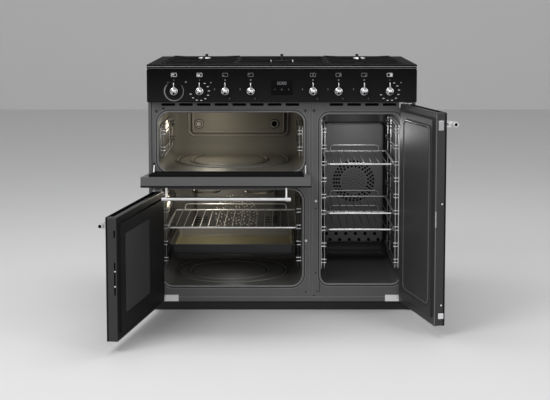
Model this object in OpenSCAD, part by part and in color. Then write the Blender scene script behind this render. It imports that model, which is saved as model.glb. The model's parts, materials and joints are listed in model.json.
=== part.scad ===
// Range cooker with three ovens and a five-burner gas hob, all three doors standing open.
// Origin: centre of the body's footprint on the floor. X to the right, Y to the back, Z up.

/* [Casing] */
// Depth of the body, from the face of the control panel to the back
body_d = 600; // [590:1:640]
// Thickness of the folded casing sheet
sheet = 1.5; // [1.2:0.1:2]
// Height of the underside of the base pan above the floor
base_z = 30; // [26:1:30]
// Distance of the front frame behind the face of the control panel
frame_setback = 44; // [44:0.5:50]
// Distance of the plinth behind the face of the control panel
plinth_setback = 50; // [50:1:80]
// Width of the plinth's flanges
plinth_flange = 30; // [20:1:36]
// Width of the front flange of each side panel
side_flange_w = 11; // [9:0.5:12]
// Thickness of the front frame
frame_t = 2; // [1.5:0.1:3]
// Radius of a levelling foot
foot_r = 18; // [14:1:22]

/* [Doors] */
// Height of the doors' lower edge above the floor
door_bottom = 35; // [35:1:40]
// Height of the main oven door
main_door_h = 378; // [370:1:400]
// Gap between the main oven door and the grill door
mid_gap = 15; // [15:1:20]
// Height of the grill oven door
grill_door_h = 280; // [270:1:300]
// Gap between the upper doors and the control panel
panel_gap = 7; // [7:1:12]
// Width of the two doors on the left
left_door_w = 540; // [530:1:560]
// Width of the tall oven door
tall_door_w = 350; // [340:1:370]
// Gap between the left doors and the tall door
door_gap = 4; // [4:0.5:6]
// Gap between the side of the body and a closed door's edge
side_margin = 2; // [1:0.5:4]
// Depth of a door's folded shell
shell_d = 33; // [30:1:33]
// Thickness of a door's skin
skin = 2; // [1.5:0.1:2.5]
// Width of the shell's flange round the inner glass
door_border = 23; // [22:1:26]
// How far the inner glass or liner stands behind the shell
liner_rise = 7; // [5:0.5:7]
// Thickness of the glass panes
glass_t = 4; // [3:0.5:5]
// Corner radius of the doors
door_corner_r = 4; // [3:0.5:6]
// Distance of a hinge pin from the edge of its door
pin_inset = 21; // [19:0.5:21]
// Distance of a hinge pin behind the face of its door
pin_depth = 9; // [9:0.5:10]
// Radius of the hinge pins
pin_r = 4; // [3:0.25:4]
// Angle to which the grill door is open
grill_open = 85; // [84:0.5:88]
// Angle to which the main oven door is open
main_open = 100; // [90:0.5:104]
// Angle to which the tall oven door is open
tall_open = 103.5; // [90:0.5:106]

/* [Handles] */
// Radius of the handle bar
bar_r = 6.5; // [6:0.25:7]
// Radius of the ring at each end of the bar
ring_r = 8.5; // [8:0.25:8.5]
// Length of the end ring
ring_len = 12; // [10:0.5:16]
// Distance of the bar's axis from the face of the door
bar_out = 38; // [35:0.5:38]
// Thickness of the handle brackets
bracket_t = 5; // [4:0.5:6]
// Distance of the bar below the upper edge of its door
bar_drop = 40; // [36:1:50]
// Distance from the edge of a left door to the end of its handle
left_bar_inset = 64; // [50:1:90]
// Distance from the edge of the tall door to the end of its handle
tall_bar_inset = 20; // [18:1:40]

/* [Ovens] */
// Depth of the ovens behind the front frame
oven_d = 470; // [465:1:475]
// Thickness of the oven walls
wall = 1.5; // [1.2:0.1:2]
// Width of the flange round the mouth of an oven
mouth_flange = 3; // [2:0.5:4]
// Width of the grill oven
grill_w = 488; // [480:1:492]
// Height of the grill oven
grill_h = 199; // [195:1:205]
// Height of the grill oven's floor above the floor
grill_floor = 478; // [476:1:480]
// Corner radius of the grill oven
grill_r = 36; // [24:1:40]
// Width of the main oven
main_w = 478; // [474:1:484]
// Height of the main oven
main_h = 329; // [325:1:333]
// Height of the main oven's floor above the floor
main_floor = 86; // [84:1:90]
// Corner radius of the main oven
main_r = 40; // [24:1:44]
// Width of the tall oven
tall_w = 269; // [262:1:274]
// Height of the tall oven
tall_h = 578; // [574:1:582]
// Height of the tall oven's floor above the floor
tall_floor = 93; // [88:1:96]
// Corner radius of the tall oven
tall_r = 27; // [20:1:34]
// Sideways offset of the left ovens from the middle of their doors
left_shift = 6.5; // [4:0.5:8]
// Sideways offset of the tall oven from the middle of its door
tall_shift = -5; // [-7:0.5:-3]
// Depth of the wire shelves
shelf_d = 373; // [350:1:375]
// Radius of a shelf's frame wire
shelf_wire_r = 3; // [2.5:0.25:3]
// Height of the guard at the back of a shelf
guard_h = 22; // [16:1:26]
// Distance from the oven wall to the rack's runners
rack_out = 19; // [18.5:0.25:19.5]
// Radius of the rack wires
rack_wire_r = 2; // [1.5:0.25:2]
// Pitch of the shelf positions
rack_pitch = 56.2; // [54:0.2:58]
// Height of the deep tray
tray_h = 38; // [30:1:40]
// Radius of the heating tubes
tube_r = 3.25; // [3:0.25:4]
// Spacing of the grill element's legs
grill_leg_pitch = 56; // [50:1:60]
// Spacing of the roof element's legs
roof_leg_pitch = 92; // [84:1:96]
// Distance from the oven's mouth to the grill element's first bend
grill_tube_y = 184; // [178:1:188]
// Distance from the oven's mouth to the roof element's first bend
roof_tube_y = 90; // [82:1:100]
// Drop of the grill element below the oven's roof
grill_tube_drop = 9; // [8:0.25:10]
// Drop of the roof element below the oven's roof
roof_tube_drop = 18; // [16:0.5:22]
// Radius of the fan wheels
fan_r = 66; // [58:1:70]
// Width of the cover in front of the main oven's fan
main_cover_w = 300; // [260:2:320]
// Height of the cover in front of the main oven's fan
main_cover_h = 210; // [190:2:220]
// Width of the cover in front of the tall oven's fan
tall_cover_w = 222; // [190:2:224]
// Height of the cover in front of the tall oven's fan
tall_cover_h = 450; // [420:2:460]

/* [Control panel] */
// Height of the control panel
panel_h = 108; // [104:1:116]
// Thickness of the control panel's front
panel_t = 4; // [3:0.5:5]
// Height of the knob axes above the panel's lower edge
knob_rise = 37; // [34:1:42]
// Distance of the inner knobs from the middle
knob_first = 103.5; // [98:0.5:108]
// Pitch of the knobs
knob_pitch = 85; // [80:0.5:88]
// Radius of a knob's skirt
knob_r = 13.5; // [12:0.25:15]
// Distance from the knob axis to the tip of its lever
lever_len = 30; // [26:0.5:32]
// Gap between the panel and a knob
knob_gap = 4; // [3.5:0.25:5]
// Travel of a gas knob when it is pushed in
push_travel = 3; // [2:0.25:3]
// Radius of the knob spindles
spindle_r = 3; // [2.5:0.25:3.5]
// Width of the clock window
clock_w = 69; // [60:1:76]
// Height of the clock window
clock_h = 47; // [40:1:50]
// Height of the middle of the clock window above the panel's lower edge
clock_rise = 49; // [46:1:54]

/* [Hob] */
// Height of the steel trim under the hob
trim_h = 10; // [8:0.5:12]
// Height of the hob tray's front edge
rim_h = 5; // [4:0.5:7]
// Width of the hob tray's rim at the sides
side_rim_w = 40; // [30:1:46]
// Width of the hob tray's rim at the back
back_rim_w = 22; // [16:1:30]
// Width of the hob tray's rim at the front
front_rim_w = 60; // [50:1:70]
// Depth of the hob tray's basin
basin_depth = 18; // [17:0.5:20]
// Width of the middle grate
mid_grate_w = 306; // [296:1:312]
// Width of a grate bar
grate_bar = 10; // [8:0.5:12]
// Height of the grates above the basin floor
grate_h = 24; // [23:0.5:26]
// Radius of the small burners' caps
small_cap_r = 26; // [22:1:30]
// Radius of the large burners' caps
large_cap_r = 36; // [32:1:40]
// Radius of the middle burner's cap
wok_cap_r = 50; // [44:1:54]

/* [Connections] */
// Radius of the gas inlet pipe
gas_inlet_r = 10.5; // [8:0.5:13]
// Length of the gas inlet pipe behind the back
gas_inlet_len = 18; // [14:1:24]
// Radius of the cable entry
cable_hole_r = 9; // [7:0.5:11]
// Radius of the fixing holes in the back
fixing_hole_r = 3; // [2.5:0.25:3.5]
// Sideways distance between the fixing holes
fixing_pitch = 800; // [760:5:820]

/* [Hidden] */
$fn = 48;

fit = 0.3;      // gap between pieces that are placed beside each other
run = 0.05;     // radial clearance of a turning or sliding shaft
eps = 0.5;      // overshoot of a cut

// widths and columns
body_w = 2 * side_margin + left_door_w + door_gap + tall_door_w;
side_x = body_w / 2;
left_x0 = -side_x + side_margin;
left_x1 = left_x0 + left_door_w;
tall_x0 = left_x1 + door_gap;
tall_x1 = tall_x0 + tall_door_w;
left_mid = (left_x0 + left_x1) / 2;
tall_mid = (tall_x0 + tall_x1) / 2;

// depths
face_y = -body_d / 2;
back_y = body_d / 2;
frame_y = face_y + frame_setback;
oven_y0 = frame_y + frame_t;
oven_y1 = oven_y0 + oven_d;
shell_y = face_y + shell_d;
liner_y = shell_y + liner_rise;
pin_y = face_y + pin_depth;

// heights
main_top = door_bottom + main_door_h;
grill_bottom = main_top + mid_gap;
upper_top = grill_bottom + grill_door_h;
panel_z = upper_top + panel_gap;
panel_top = panel_z + panel_h;
trim_z = panel_top + sheet;
rim_z = trim_z + trim_h + eps;
hob_z = rim_z + rim_h;
basin_z = hob_z - basin_depth;
grate_top = basin_z + grate_h;
frame_top = panel_z - sheet;

// hinge pins and handles
main_pin_x = left_x0 + pin_inset;
tall_pin_x = tall_x1 - pin_inset;
grill_pin_z = grill_bottom + door_border;
notch_w = 8;
arm_t = 4;
arm_x = [left_x0 + 16, left_x1 - 13];
main_bar_z = main_top - bar_drop;
upper_bar_z = upper_top - bar_drop;

// controls
knob_z = panel_z + knob_rise;
knob_x = [for (side = [-1, 1], i = [0:3])
    side * knob_first + side * knob_pitch * (side < 0 ? 3 - i : i)];
OVEN_KNOBS = [1, 2, 8];
GAS_KNOBS = [3, 4, 5, 6, 7];
knob_back_y = face_y - knob_gap;
knob_front_y = knob_back_y - 16;
tap_front_y = face_y + panel_t + fit;
tap_back_y = tap_front_y + 38;
rail_y = tap_back_y + 6;
inlet_x = side_x - 70;
clock_z = panel_z + clock_rise;

// ovens
grill_x = left_mid + left_shift;
main_x = left_mid + left_shift + 0.5;
tall_x = tall_mid + tall_shift;
cover_y = oven_y1 - 28;
fan_y0 = oven_y1 - 21;
fan_y1 = oven_y1 - 6;
motor_y = oven_y1 + wall + fit;
main_fan_z = main_floor + main_h / 2 + 2;
tall_fan_z = tall_floor + tall_h / 2;
shaft_r = 3;
rack_y0 = oven_y0 + 14;
rack_y1 = rack_y0 + shelf_d + 8;
rack_gap = 11.5;
shelf_y0 = rack_y0 + 6;
shelf_lift = rack_wire_r + shelf_wire_r + fit;
main_rung = [for (i = [0:3]) main_floor + 77.5 + i * rack_pitch];
tall_rung = [for (i = [0:8]) tall_floor + 64 + i * rack_pitch];
grill_rung = [for (i = [0:1]) grill_floor + 66 + i * rack_pitch];

// hob
basin_y0 = face_y + front_rim_w;
basin_y1 = back_y - back_rim_w;
basin_x = side_x - side_rim_w;
burner_y = [face_y + 150, back_y - 170];
burner_x = (basin_x + mid_grate_w / 2) / 2;
wok_y = -10;
BURNERS = [
    [-burner_x, burner_y[0], small_cap_r], [-burner_x, burner_y[1], large_cap_r],
    [0, wok_y, wok_cap_r],
    [burner_x, burner_y[0], large_cap_r], [burner_x, burner_y[1], small_cap_r]];

// the block between two corners, given as ranges along X, Y and Z
module box(x, y, z) {
    translate([x[0], y[0], z[0]]) cube([x[1] - x[0], y[1] - y[0], z[1] - z[0]]);
}

// a rectangle with round corners, centred
module round_rect(w, h, r) {
    square([w - 2 * r, h], center = true);
    square([w, h - 2 * r], center = true);
    for (sx = [-1, 1], sz = [-1, 1])
        translate([sx * (w / 2 - r), sz * (h / 2 - r)]) circle(r);
}

// a slab that faces the front, with round corners seen from the front
module slab(x, y, z, r) {
    translate([(x[0] + x[1]) / 2, y[1], (z[0] + z[1]) / 2]) rotate([90, 0, 0])
        linear_extrude(y[1] - y[0]) round_rect(x[1] - x[0], z[1] - z[0], r);
}

// a rod between two heights, depths or widths
module rod_x(x, y, z, r) {
    translate([x[0], y, z]) rotate([0, 90, 0]) cylinder(h = x[1] - x[0], r = r);
}
module rod_y(x, y, z, r) {
    translate([x, y[0], z]) rotate([-90, 0, 0]) cylinder(h = y[1] - y[0], r = r);
}
module rod_z(x, y, z, r) {
    translate([x, y, z[0]]) cylinder(h = z[1] - z[0], r = r);
}

// the doors are drawn closed and turned open about their pins
module grill_swing() {
    translate([0, pin_y, grill_pin_z]) rotate([grill_open, 0, 0])
        translate([0, -pin_y, -grill_pin_z]) children();
}
module main_swing() {
    translate([main_pin_x, pin_y, 0]) rotate([0, 0, -main_open])
        translate([-main_pin_x, -pin_y, 0]) children();
}
module tall_swing() {
    translate([tall_pin_x, pin_y, 0]) rotate([0, 0, tall_open])
        translate([-tall_pin_x, -pin_y, 0]) children();
}

// ---- casing ----
module base_pan() color("dimgray") {
    difference() {
        box([-side_x + 2 * sheet, side_x - 2 * sheet], [frame_y + frame_t + fit, back_y - sheet - fit],
            [base_z, base_z + 16]);
        box([-side_x + 3 * sheet, side_x - 3 * sheet],
            [frame_y + frame_t + fit + sheet, back_y - 2 * sheet - fit],
            [base_z + sheet, base_z + 17]);
    }
}

module side_panels() color([0.07, 0.07, 0.075]) for (s = [-1, 1]) scale([s, 1, 1]) {
    box([side_x - sheet, side_x], [frame_y, back_y - sheet - fit], [base_z, rim_z - fit]);
    box([side_x - side_flange_w, side_x], [frame_y, frame_y + sheet], [base_z, panel_z - fit]);
}

module rear_panel() color("gray") {
    difference() {
        union() {
            box([-side_x, side_x], [back_y - sheet, back_y], [base_z, rim_z - fit]);
            rod_y(side_x - 190, [back_y - 10, back_y + 4], rim_z - 70, cable_hole_r + 4);
            rod_y(inlet_x, [back_y - 34, back_y + gas_inlet_len], knob_z, gas_inlet_r);
        }
        rod_y(side_x - 190, [back_y - 10 - eps, back_y + 4 + eps], rim_z - 70, cable_hole_r);
        rod_y(inlet_x, [back_y - 20, back_y + gas_inlet_len + eps], knob_z, gas_inlet_r - 2.5);
        for (sx = [-1, 1], z = [rim_z - 24, rim_z - 124])
            rod_y(sx * fixing_pitch / 2, [back_y - sheet - eps, back_y + eps], z, fixing_hole_r);
        for (i = [-7:7], z = [rim_z - 130, 240])
            box([i * 40 - 14, i * 40 + 14], [back_y - sheet - eps, back_y + eps], [z, z + 6]);
    }
}

module vent_slots(x_first, count) {
    slot_w = 46;
    slot_pitch = 59.6;
    for (i = [0:count - 1])
        slab([x_first + i * slot_pitch - slot_w / 2, x_first + i * slot_pitch + slot_w / 2],
            [frame_y - eps, frame_y + frame_t + eps], [frame_top - 14, frame_top - 5], 3);
}

module oven_mouth(x, w, z, h, r) {
    slab([x - w / 2, x + w / 2], [frame_y - eps, frame_y + frame_t + eps], [z, z + h], r);
}

module front_frame() color([0.16, 0.16, 0.165]) {
    difference() {
        box([-side_x + side_flange_w + fit, side_x - side_flange_w - fit],
            [frame_y, frame_y + frame_t], [base_z + fit, frame_top]);
        oven_mouth(grill_x, grill_w, grill_floor, grill_h, grill_r);
        oven_mouth(main_x, main_w, main_floor, main_h, main_r);
        oven_mouth(tall_x, tall_w, tall_floor, tall_h, tall_r);
        vent_slots(-381.7, 8);
        vent_slots(183.6, 4);
        for (x = arm_x)
            slab([x - 3.5, x + 3.5], [frame_y - eps, frame_y + frame_t + eps],
                [grill_pin_z - 6, grill_pin_z + 56], 3);
        for (c = catches) {
            rod_y(c[0], [frame_y - eps, frame_y + frame_t + eps], c[1], catch_r + run);
            rod_y(c[0], [frame_y - eps, frame_y + frame_t + eps], c[1] - 27, 2.5);
        }
        // the pressed channel between the two columns
        box([left_x1 + 2, tall_x0 + 6], [frame_y - eps, frame_y + frame_t / 2],
            [door_bottom + 15, upper_top]);
    }
    // folded lower edge
    box([-side_x + side_flange_w + fit, side_x - side_flange_w - fit],
        [frame_y + frame_t - eps, frame_y + 22], [base_z + fit + 17, base_z + fit + 18.5]);
}

// a channel along the front and both sides, open towards the middle
module plinth() color("black") {
    top = base_z - 0.2;
    y0 = face_y + plinth_setback;
    y1 = back_y - 20;
    difference() {
        box([-side_x, side_x], [y0, y1], [0, top]);
        box([-side_x + plinth_flange, side_x - plinth_flange], [y0 + plinth_flange, y1 + eps],
            [-eps, top + eps]);
        box([-side_x + sheet, side_x - sheet], [y0 + sheet, y1 + eps], [sheet, top - sheet]);
    }
}

module levelling_feet() color("dimgray") {
    for (x = [-side_x + 60, side_x - 60], y = [face_y + 130, back_y - 60]) {
        rod_z(x, y, [0, 9], foot_r);
        rod_z(x, y, [8, base_z - 0.2], 5);
        translate([x, y, base_z - 9]) cylinder(h = 6, r = 10, $fn = 6);
    }
}

// ---- control panel ----
module control_panel() color([0.02, 0.02, 0.022]) {
    difference() {
        box([-side_x, side_x], [face_y, frame_y], [panel_z, panel_top]);
        box([-side_x + sheet, side_x - sheet], [face_y + panel_t, frame_y + eps],
            [panel_z + sheet, panel_top - sheet]);
        for (x = knob_x)
            rod_y(x, [face_y - eps, face_y + panel_t + eps], knob_z, spindle_r + 1.5);
        box([-clock_w / 2, clock_w / 2], [face_y - eps, face_y + panel_t + eps],
            [clock_z - clock_h / 2, clock_z + clock_h / 2]);
    }
}

module clock_display() color([0.03, 0.03, 0.035]) {
    w = clock_w / 2 - fit;
    h = clock_h / 2 - fit;
    box([-w, w], [face_y, face_y + panel_t + 1], [clock_z - h, clock_z + h]);
    box([-w - 5, w + 5], [tap_front_y, tap_front_y + 22], [clock_z - h - 5, clock_z + h + 5]);
}

module hob_trim() color("silver") {
    difference() {
        box([-side_x + 1, side_x - 1], [face_y + 1, face_y + 40], [trim_z - sheet + fit, trim_z + trim_h]);
        box([-side_x + 3, side_x - 3], [face_y + 3, face_y + 41],
            [trim_z - sheet, trim_z + trim_h - sheet]);
        box([-side_x, side_x], [face_y, face_y + 2], [trim_z + 3, trim_z + 4.5]);
    }
}

// a knob drawn with its axis along Y: skirt, hub and a slim lever that points up
module knob(i) color([0.85, 0.85, 0.87]) {
    x = knob_x[i - 1];
    difference() {
        union() {
            rod_y(x, [knob_back_y - 6, knob_back_y], knob_z, knob_r);
            rod_y(x, [knob_front_y, knob_back_y - 5], knob_z, knob_r - 4.5);
            box([x - 2.5, x + 2.5], [knob_front_y + 3, knob_back_y - 2], [knob_z, knob_z + lever_len]);
        }
        rod_y(x, [knob_front_y + 3, knob_back_y + eps], knob_z, spindle_r + run);
    }
}

module tap_spindle(i) color("silver") {
    x = knob_x[i - 1];
    rod_y(x, [knob_front_y + 3 + fit, tap_back_y - push_travel - 4], knob_z, spindle_r);
}

module gas_rail_and_switches() color("goldenrod") {
    for (i = GAS_KNOBS) {
        x = knob_x[i - 1];
        difference() {
            union() {
                rod_y(x, [tap_front_y, tap_back_y - 2], knob_z, 10);
                box([x - 8, x + 8], [tap_back_y - 14, rail_y], [knob_z - 8, knob_z + 8]);
            }
            rod_y(x, [tap_front_y - eps, tap_back_y - 3], knob_z, spindle_r + run);
        }
    }
    rod_x([knob_x[2] - 20, inlet_x + 8], rail_y + 4, knob_z, 9);
    rod_y(inlet_x, [rail_y + 4, back_y - 34 - fit], knob_z, 6);
    for (i = OVEN_KNOBS) {
        x = knob_x[i - 1];
        box([x - 18, x + 18], [tap_front_y, tap_front_y + 26], [knob_z - 18, knob_z + 18]);
        rod_y(x, [knob_front_y + 3 + fit, tap_front_y + 5], knob_z, spindle_r);
    }
}

// ---- hob ----
module hob_tray() color([0.015, 0.015, 0.017]) {
    difference() {
        union() {
            box([-side_x, side_x], [face_y, back_y], [rim_z, hob_z]);
            slab_up([-basin_x - 2, basin_x + 2], [basin_y0 - 2, basin_y1 + 2], [basin_z - 2, hob_z], 16);
        }
        difference() {
            box([-side_x + 2, side_x - 2], [face_y + 2, back_y - 2], [rim_z - eps, hob_z - 2]);
            slab_up([-basin_x - 2, basin_x + 2], [basin_y0 - 2, basin_y1 + 2], [basin_z - 3, hob_z], 16);
        }
        slab_up([-basin_x, basin_x], [basin_y0, basin_y1], [basin_z, hob_z + eps], 14);
        for (b = BURNERS)
            rod_z(b[0], b[1], [basin_z - 3, basin_z + eps], b[2] * 0.6 + fit);
    }
}

// a slab that lies flat, with round corners seen from above
module slab_up(x, y, z, r) {
    translate([(x[0] + x[1]) / 2, (y[0] + y[1]) / 2, z[0]])
        linear_extrude(z[1] - z[0]) round_rect(x[1] - x[0], y[1] - y[0], r);
}

module burner_cups() color("silver") for (b = BURNERS) {
    rod_z(b[0], b[1], [basin_z - 14, basin_z + eps], b[2] * 0.6);
    rod_z(b[0], b[1], [basin_z, basin_z + 5], b[2] * 0.9);
}

module burner_spreaders() color("silver") for (b = BURNERS) difference() {
    rod_z(b[0], b[1], [basin_z + 5, basin_z + 13], b[2] * 0.82);
    rod_z(b[0], b[1], [basin_z + 8, basin_z + 14], b[2] * 0.62);
    for (a = [0:20:340])
        translate([b[0], b[1], 0]) rotate(a) box([b[2] * 0.7, b[2]], [-1, 1], [basin_z + 9, basin_z + 14]);
}

module burner_caps() color([0.03, 0.03, 0.03]) for (b = BURNERS) {
    rod_z(b[0], b[1], [basin_z + 13, basin_z + 17], b[2]);
    rod_z(b[0], b[1], [basin_z + 16, basin_z + 18.5], b[2] * 0.7);
}

// one grate: a frame on feet, with eight fingers round each burner
module grate(x0, x1, burners) color([0.05, 0.05, 0.052]) {
    g = grate_bar;
    y0 = basin_y0 + 6;
    y1 = basin_y1 - 6;
    z = [grate_top - 12, grate_top - 4];
    bar_z = [z[0] + 1, grate_top];
    difference() {
        box([x0, x1], [y0, y1], z);
        box([x0 + g, x1 - g], [y0 + g, y1 - g], [z[0] - eps, z[1] + eps]);
    }
    for (x = [x0, x1 - g], y = [y0, y1 - g]) box([x, x + g], [y, y + g], [basin_z + 0.2, z[0] + eps]);
    for (k = [0:len(burners) - 1]) {
        b = burners[k];
        lo = k == 0 ? y0 : (burners[k - 1][1] + b[1]) / 2;
        hi = k == len(burners) - 1 ? y1 : (burners[k + 1][1] + b[1]) / 2;
        for (a = [0:90:270]) {
            reach = a == 0 ? x1 - b[0] : a == 90 ? hi - b[1] : a == 180 ? b[0] - x0 : b[1] - lo;
            finger(b, a, b[2] + 3, reach - g / 2, bar_z);
            finger(b, a, b[2] * 0.55, b[2] + 8, [grate_top - 4.5, grate_top + 1.5]);
        }
        for (sx = [-1, 1], sy = [-1, 1]) {
            reach = min(sx < 0 ? b[0] - x0 : x1 - b[0], sy < 0 ? b[1] - lo : hi - b[1]);
            finger(b, atan2(sy, sx), b[2] + 8, reach * sqrt(2) - g / 2, [z[0] + 1, grate_top - 1]);
        }
    }
    mid_y = (burners[0][1] + burners[len(burners) - 1][1]) / 2;
    bars = len(burners) > 1 ? [mid_y] : [for (s = [-1, 1]) mid_y + s * ((x1 - x0) / 2 + 12)];
    for (y = bars) box([x0, x1], [y - g / 2, y + g / 2], z);
    for (y = [y0, y1]) rod_z(burners[0][0], y == y0 ? y0 + g / 2 : y1 - g / 2, [z[0], grate_top + 4], 5.5);
}

// a bar that points at a burner from a given direction
module finger(b, angle, r0, r1, z) {
    translate([b[0], b[1], 0]) rotate(angle) box([r0, r1], [-grate_bar / 3, grate_bar / 3], z);
}

// ---- ovens ----
module cavity(x, w, z, h, r, shaft_z) color([0.35, 0.35, 0.36]) {
    m = mouth_flange;
    difference() {
        union() {
            slab([x - w / 2 - wall, x + w / 2 + wall], [oven_y0, oven_y1 + wall],
                [z - wall, z + h + wall], r + wall);
            slab([x - w / 2 - m, x + w / 2 + m], [oven_y0, oven_y0 + wall], [z - m, z + h + m], r + m);
        }
        slab([x - w / 2, x + w / 2], [oven_y0 - eps, oven_y1], [z, z + h], r);
        if (shaft_z > 0) rod_y(x, [oven_y1 - eps, oven_y1 + wall + eps], shaft_z, shaft_r + 3);
    }
}

// a heating tube that runs forward and back in hairpins, with both tails in the back wall
module hairpin(x, z, legs, pitch, y0) color("saddlebrown") {
    first = x - (legs - 1) * pitch / 2;
    bend = pitch / 2;
    y_back = oven_y1 - bend - tube_r - 9;
    for (i = [0:legs - 1]) {
        tail = i == 0 || i == legs - 1;
        rod_y(first + i * pitch, [y0, tail ? oven_y1 - fit : y_back], z, tube_r);
    }
    for (i = [0:legs - 2])
        translate([first + (i + 0.5) * pitch, i % 2 == 0 ? y0 : y_back, z])
            rotate([0, 0, i % 2 == 0 ? 180 : 0]) rotate_extrude(angle = 180)
                translate([bend, 0]) circle(tube_r);
}

module ring_element(x, z) color("saddlebrown") {
    translate([x, (fan_y0 + fan_y1) / 2, z]) rotate([90, 0, 0]) rotate_extrude()
        translate([fan_r + 12, 0]) circle(tube_r);
    for (s = [-1, 1])
        rod_y(x + s * (fan_r + 12), [(fan_y0 + fan_y1) / 2, oven_y1 - fit], z, tube_r);
}

module fan_cover(x, w, z, h, fan_z) color("gray") {
    difference() {
        box([x - w / 2, x + w / 2], [cover_y, oven_y1 - fit], [z, z + h]);
        box([x - w / 2 + sheet, x + w / 2 - sheet], [cover_y + sheet, oven_y1], [z + sheet, z + h - sheet]);
        for (a = [0:15:345])
            translate([x, 0, fan_z]) rotate([0, a, 0]) translate([0, 0, -fan_z])
                box([fan_r - 6, fan_r + 4], [cover_y - eps, cover_y + sheet + eps], [fan_z - 3, fan_z + 3]);
        for (i = [0:5])
            rod_y(x + 18 * cos(i * 60), [cover_y - eps, cover_y + sheet + eps], fan_z + 18 * sin(i * 60), 5);
        rod_y(x, [cover_y - eps, cover_y + sheet + eps], fan_z, 5);
    }
}

module fan(x, z) color("lightgray") {
    difference() {
        union() {
            rod_y(x, [fan_y0, fan_y1], z, 9);
            rod_y(x, [fan_y1 - 1.5, fan_y1], z, fan_r);
            for (a = [0:30:330])
                translate([x, 0, z]) rotate([0, a, 0]) translate([0, 0, -z])
                    box([fan_r * 0.55, fan_r - 1], [fan_y0, fan_y1], [z - 0.75, z + 0.75]);
        }
        rod_y(x, [fan_y0 - eps, fan_y1 + eps], z, shaft_r + run);
    }
}

module fan_motor(x, z) color("dimgray") {
    rod_y(x, [motor_y, motor_y + 3], z, 42);
    rod_y(x, [motor_y + 2, motor_y + 50], z, 30);
    rod_y(x, [fan_y0 + 1, motor_y + 1], z, shaft_r);
}

// wire racks on both walls of an oven: upright wires and a pair of runners at each shelf position
module side_racks(x, w, rungs) color("silver") for (s = [-1, 1]) translate([x, 0, 0]) scale([s, 1, 1]) {
    $fn = 8;
    wall_x = w / 2;
    top = rungs[len(rungs) - 1] + rack_gap + 16;
    bottom = rungs[0] - 24;
    post_x = wall_x - rack_wire_r - fit;
    for (y = [rack_y0 + 20, rack_y1 - 20]) {
        rod_z(post_x, y, [bottom, top], rack_wire_r);
        for (z = [bottom + rack_wire_r, top - rack_wire_r])
            rod_x([wall_x - rack_out, post_x], y, z, rack_wire_r);
    }
    for (z = rungs, dz = [0, rack_gap]) {
        rod_y(wall_x - rack_out, [rack_y0, rack_y1], z + dz, rack_wire_r);
        for (y = [rack_y0 + 20, rack_y1 - 20])
            rod_x([wall_x - rack_out, post_x], y, z + dz, rack_wire_r * 0.9);
    }
}

// a wire shelf: a frame, cross wires and a raised guard at the back
module wire_shelf(x, w, z, wires) color("silver") {
    $fn = 8;
    r = shelf_wire_r;
    hx = w / 2 - rack_out;
    y1 = shelf_y0 + shelf_d;
    for (s = [-1, 1]) rod_y(x + s * hx, [shelf_y0 - r, y1 + r], z, r);
    for (y = [shelf_y0, shelf_y0 + shelf_d * 0.5, y1]) rod_x([x - hx, x + hx], y, z, r);
    for (i = [1:wires])
        rod_y(x - hx + i * 2 * hx / (wires + 1), [shelf_y0, y1], z + r * 0.7, r / 2);
    for (s = [-1, 1]) rod_z(x + s * (hx - 12), y1, [z, z + guard_h], r * 0.8);
    rod_x([x - hx + 12 - r * 0.8, x + hx - 12 + r * 0.8], y1, z + guard_h, r * 0.8);
}

module deep_tray() color([0.05, 0.05, 0.05]) {
    hx = main_w / 2 - rack_out + 3;
    z1 = main_rung[1] + rack_wire_r + fit + sheet;
    y0 = shelf_y0;
    y1 = shelf_y0 + shelf_d - 10;
    difference() {
        union() {
            slab_up([main_x - hx, main_x + hx], [y0, y1], [z1 - sheet, z1], 8);
            slab_up([main_x - hx + 13, main_x + hx - 13], [y0 + 8, y1 - 8], [z1 - tray_h, z1], 14);
        }
        slab_up([main_x - hx + 13 + sheet, main_x + hx - 13 - sheet], [y0 + 8 + sheet, y1 - 8 - sheet],
            [z1 - tray_h + sheet, z1 + eps], 13);
    }
}

// ---- doors ----
// a folded shell with a flange at the back that frames the inner glass or liner
module door_shell(x, z) {
    slab_t = shell_y - skin;
    difference() {
        slab(x, [face_y, shell_y], z, door_corner_r);
        slab([x[0] + skin, x[1] - skin], [face_y + skin, slab_t], [z[0] + skin, z[1] - skin], door_corner_r);
        slab([x[0] + door_border, x[1] - door_border], [slab_t - eps, shell_y + eps],
            [z[0] + door_border, z[1] - door_border], door_corner_r);
    }
}

// a window in the front of a door
module door_window(x, z) {
    slab([x[0] + window_side, x[1] - window_side], [face_y - eps, face_y + skin + eps],
        [z[0] + window_low, z[1] - window_high], 12);
}
window_side = 78;
window_low = 62;
window_high = 74;

// the panes of a door: one behind the window and one in the flange
module door_panes(x, z) {
    pane = [x[0] + window_side - 14, x[1] - window_side + 14];
    slab(pane, [face_y + skin + fit, face_y + skin + fit + glass_t],
        [z[0] + window_low - 14, z[1] - window_high + 14], 12);
    slab([x[0] + door_border + fit, x[1] - door_border - fit], [liner_y - glass_t - 5, liner_y],
        [z[0] + door_border + fit, z[1] - door_border - fit], door_corner_r);
}

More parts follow.
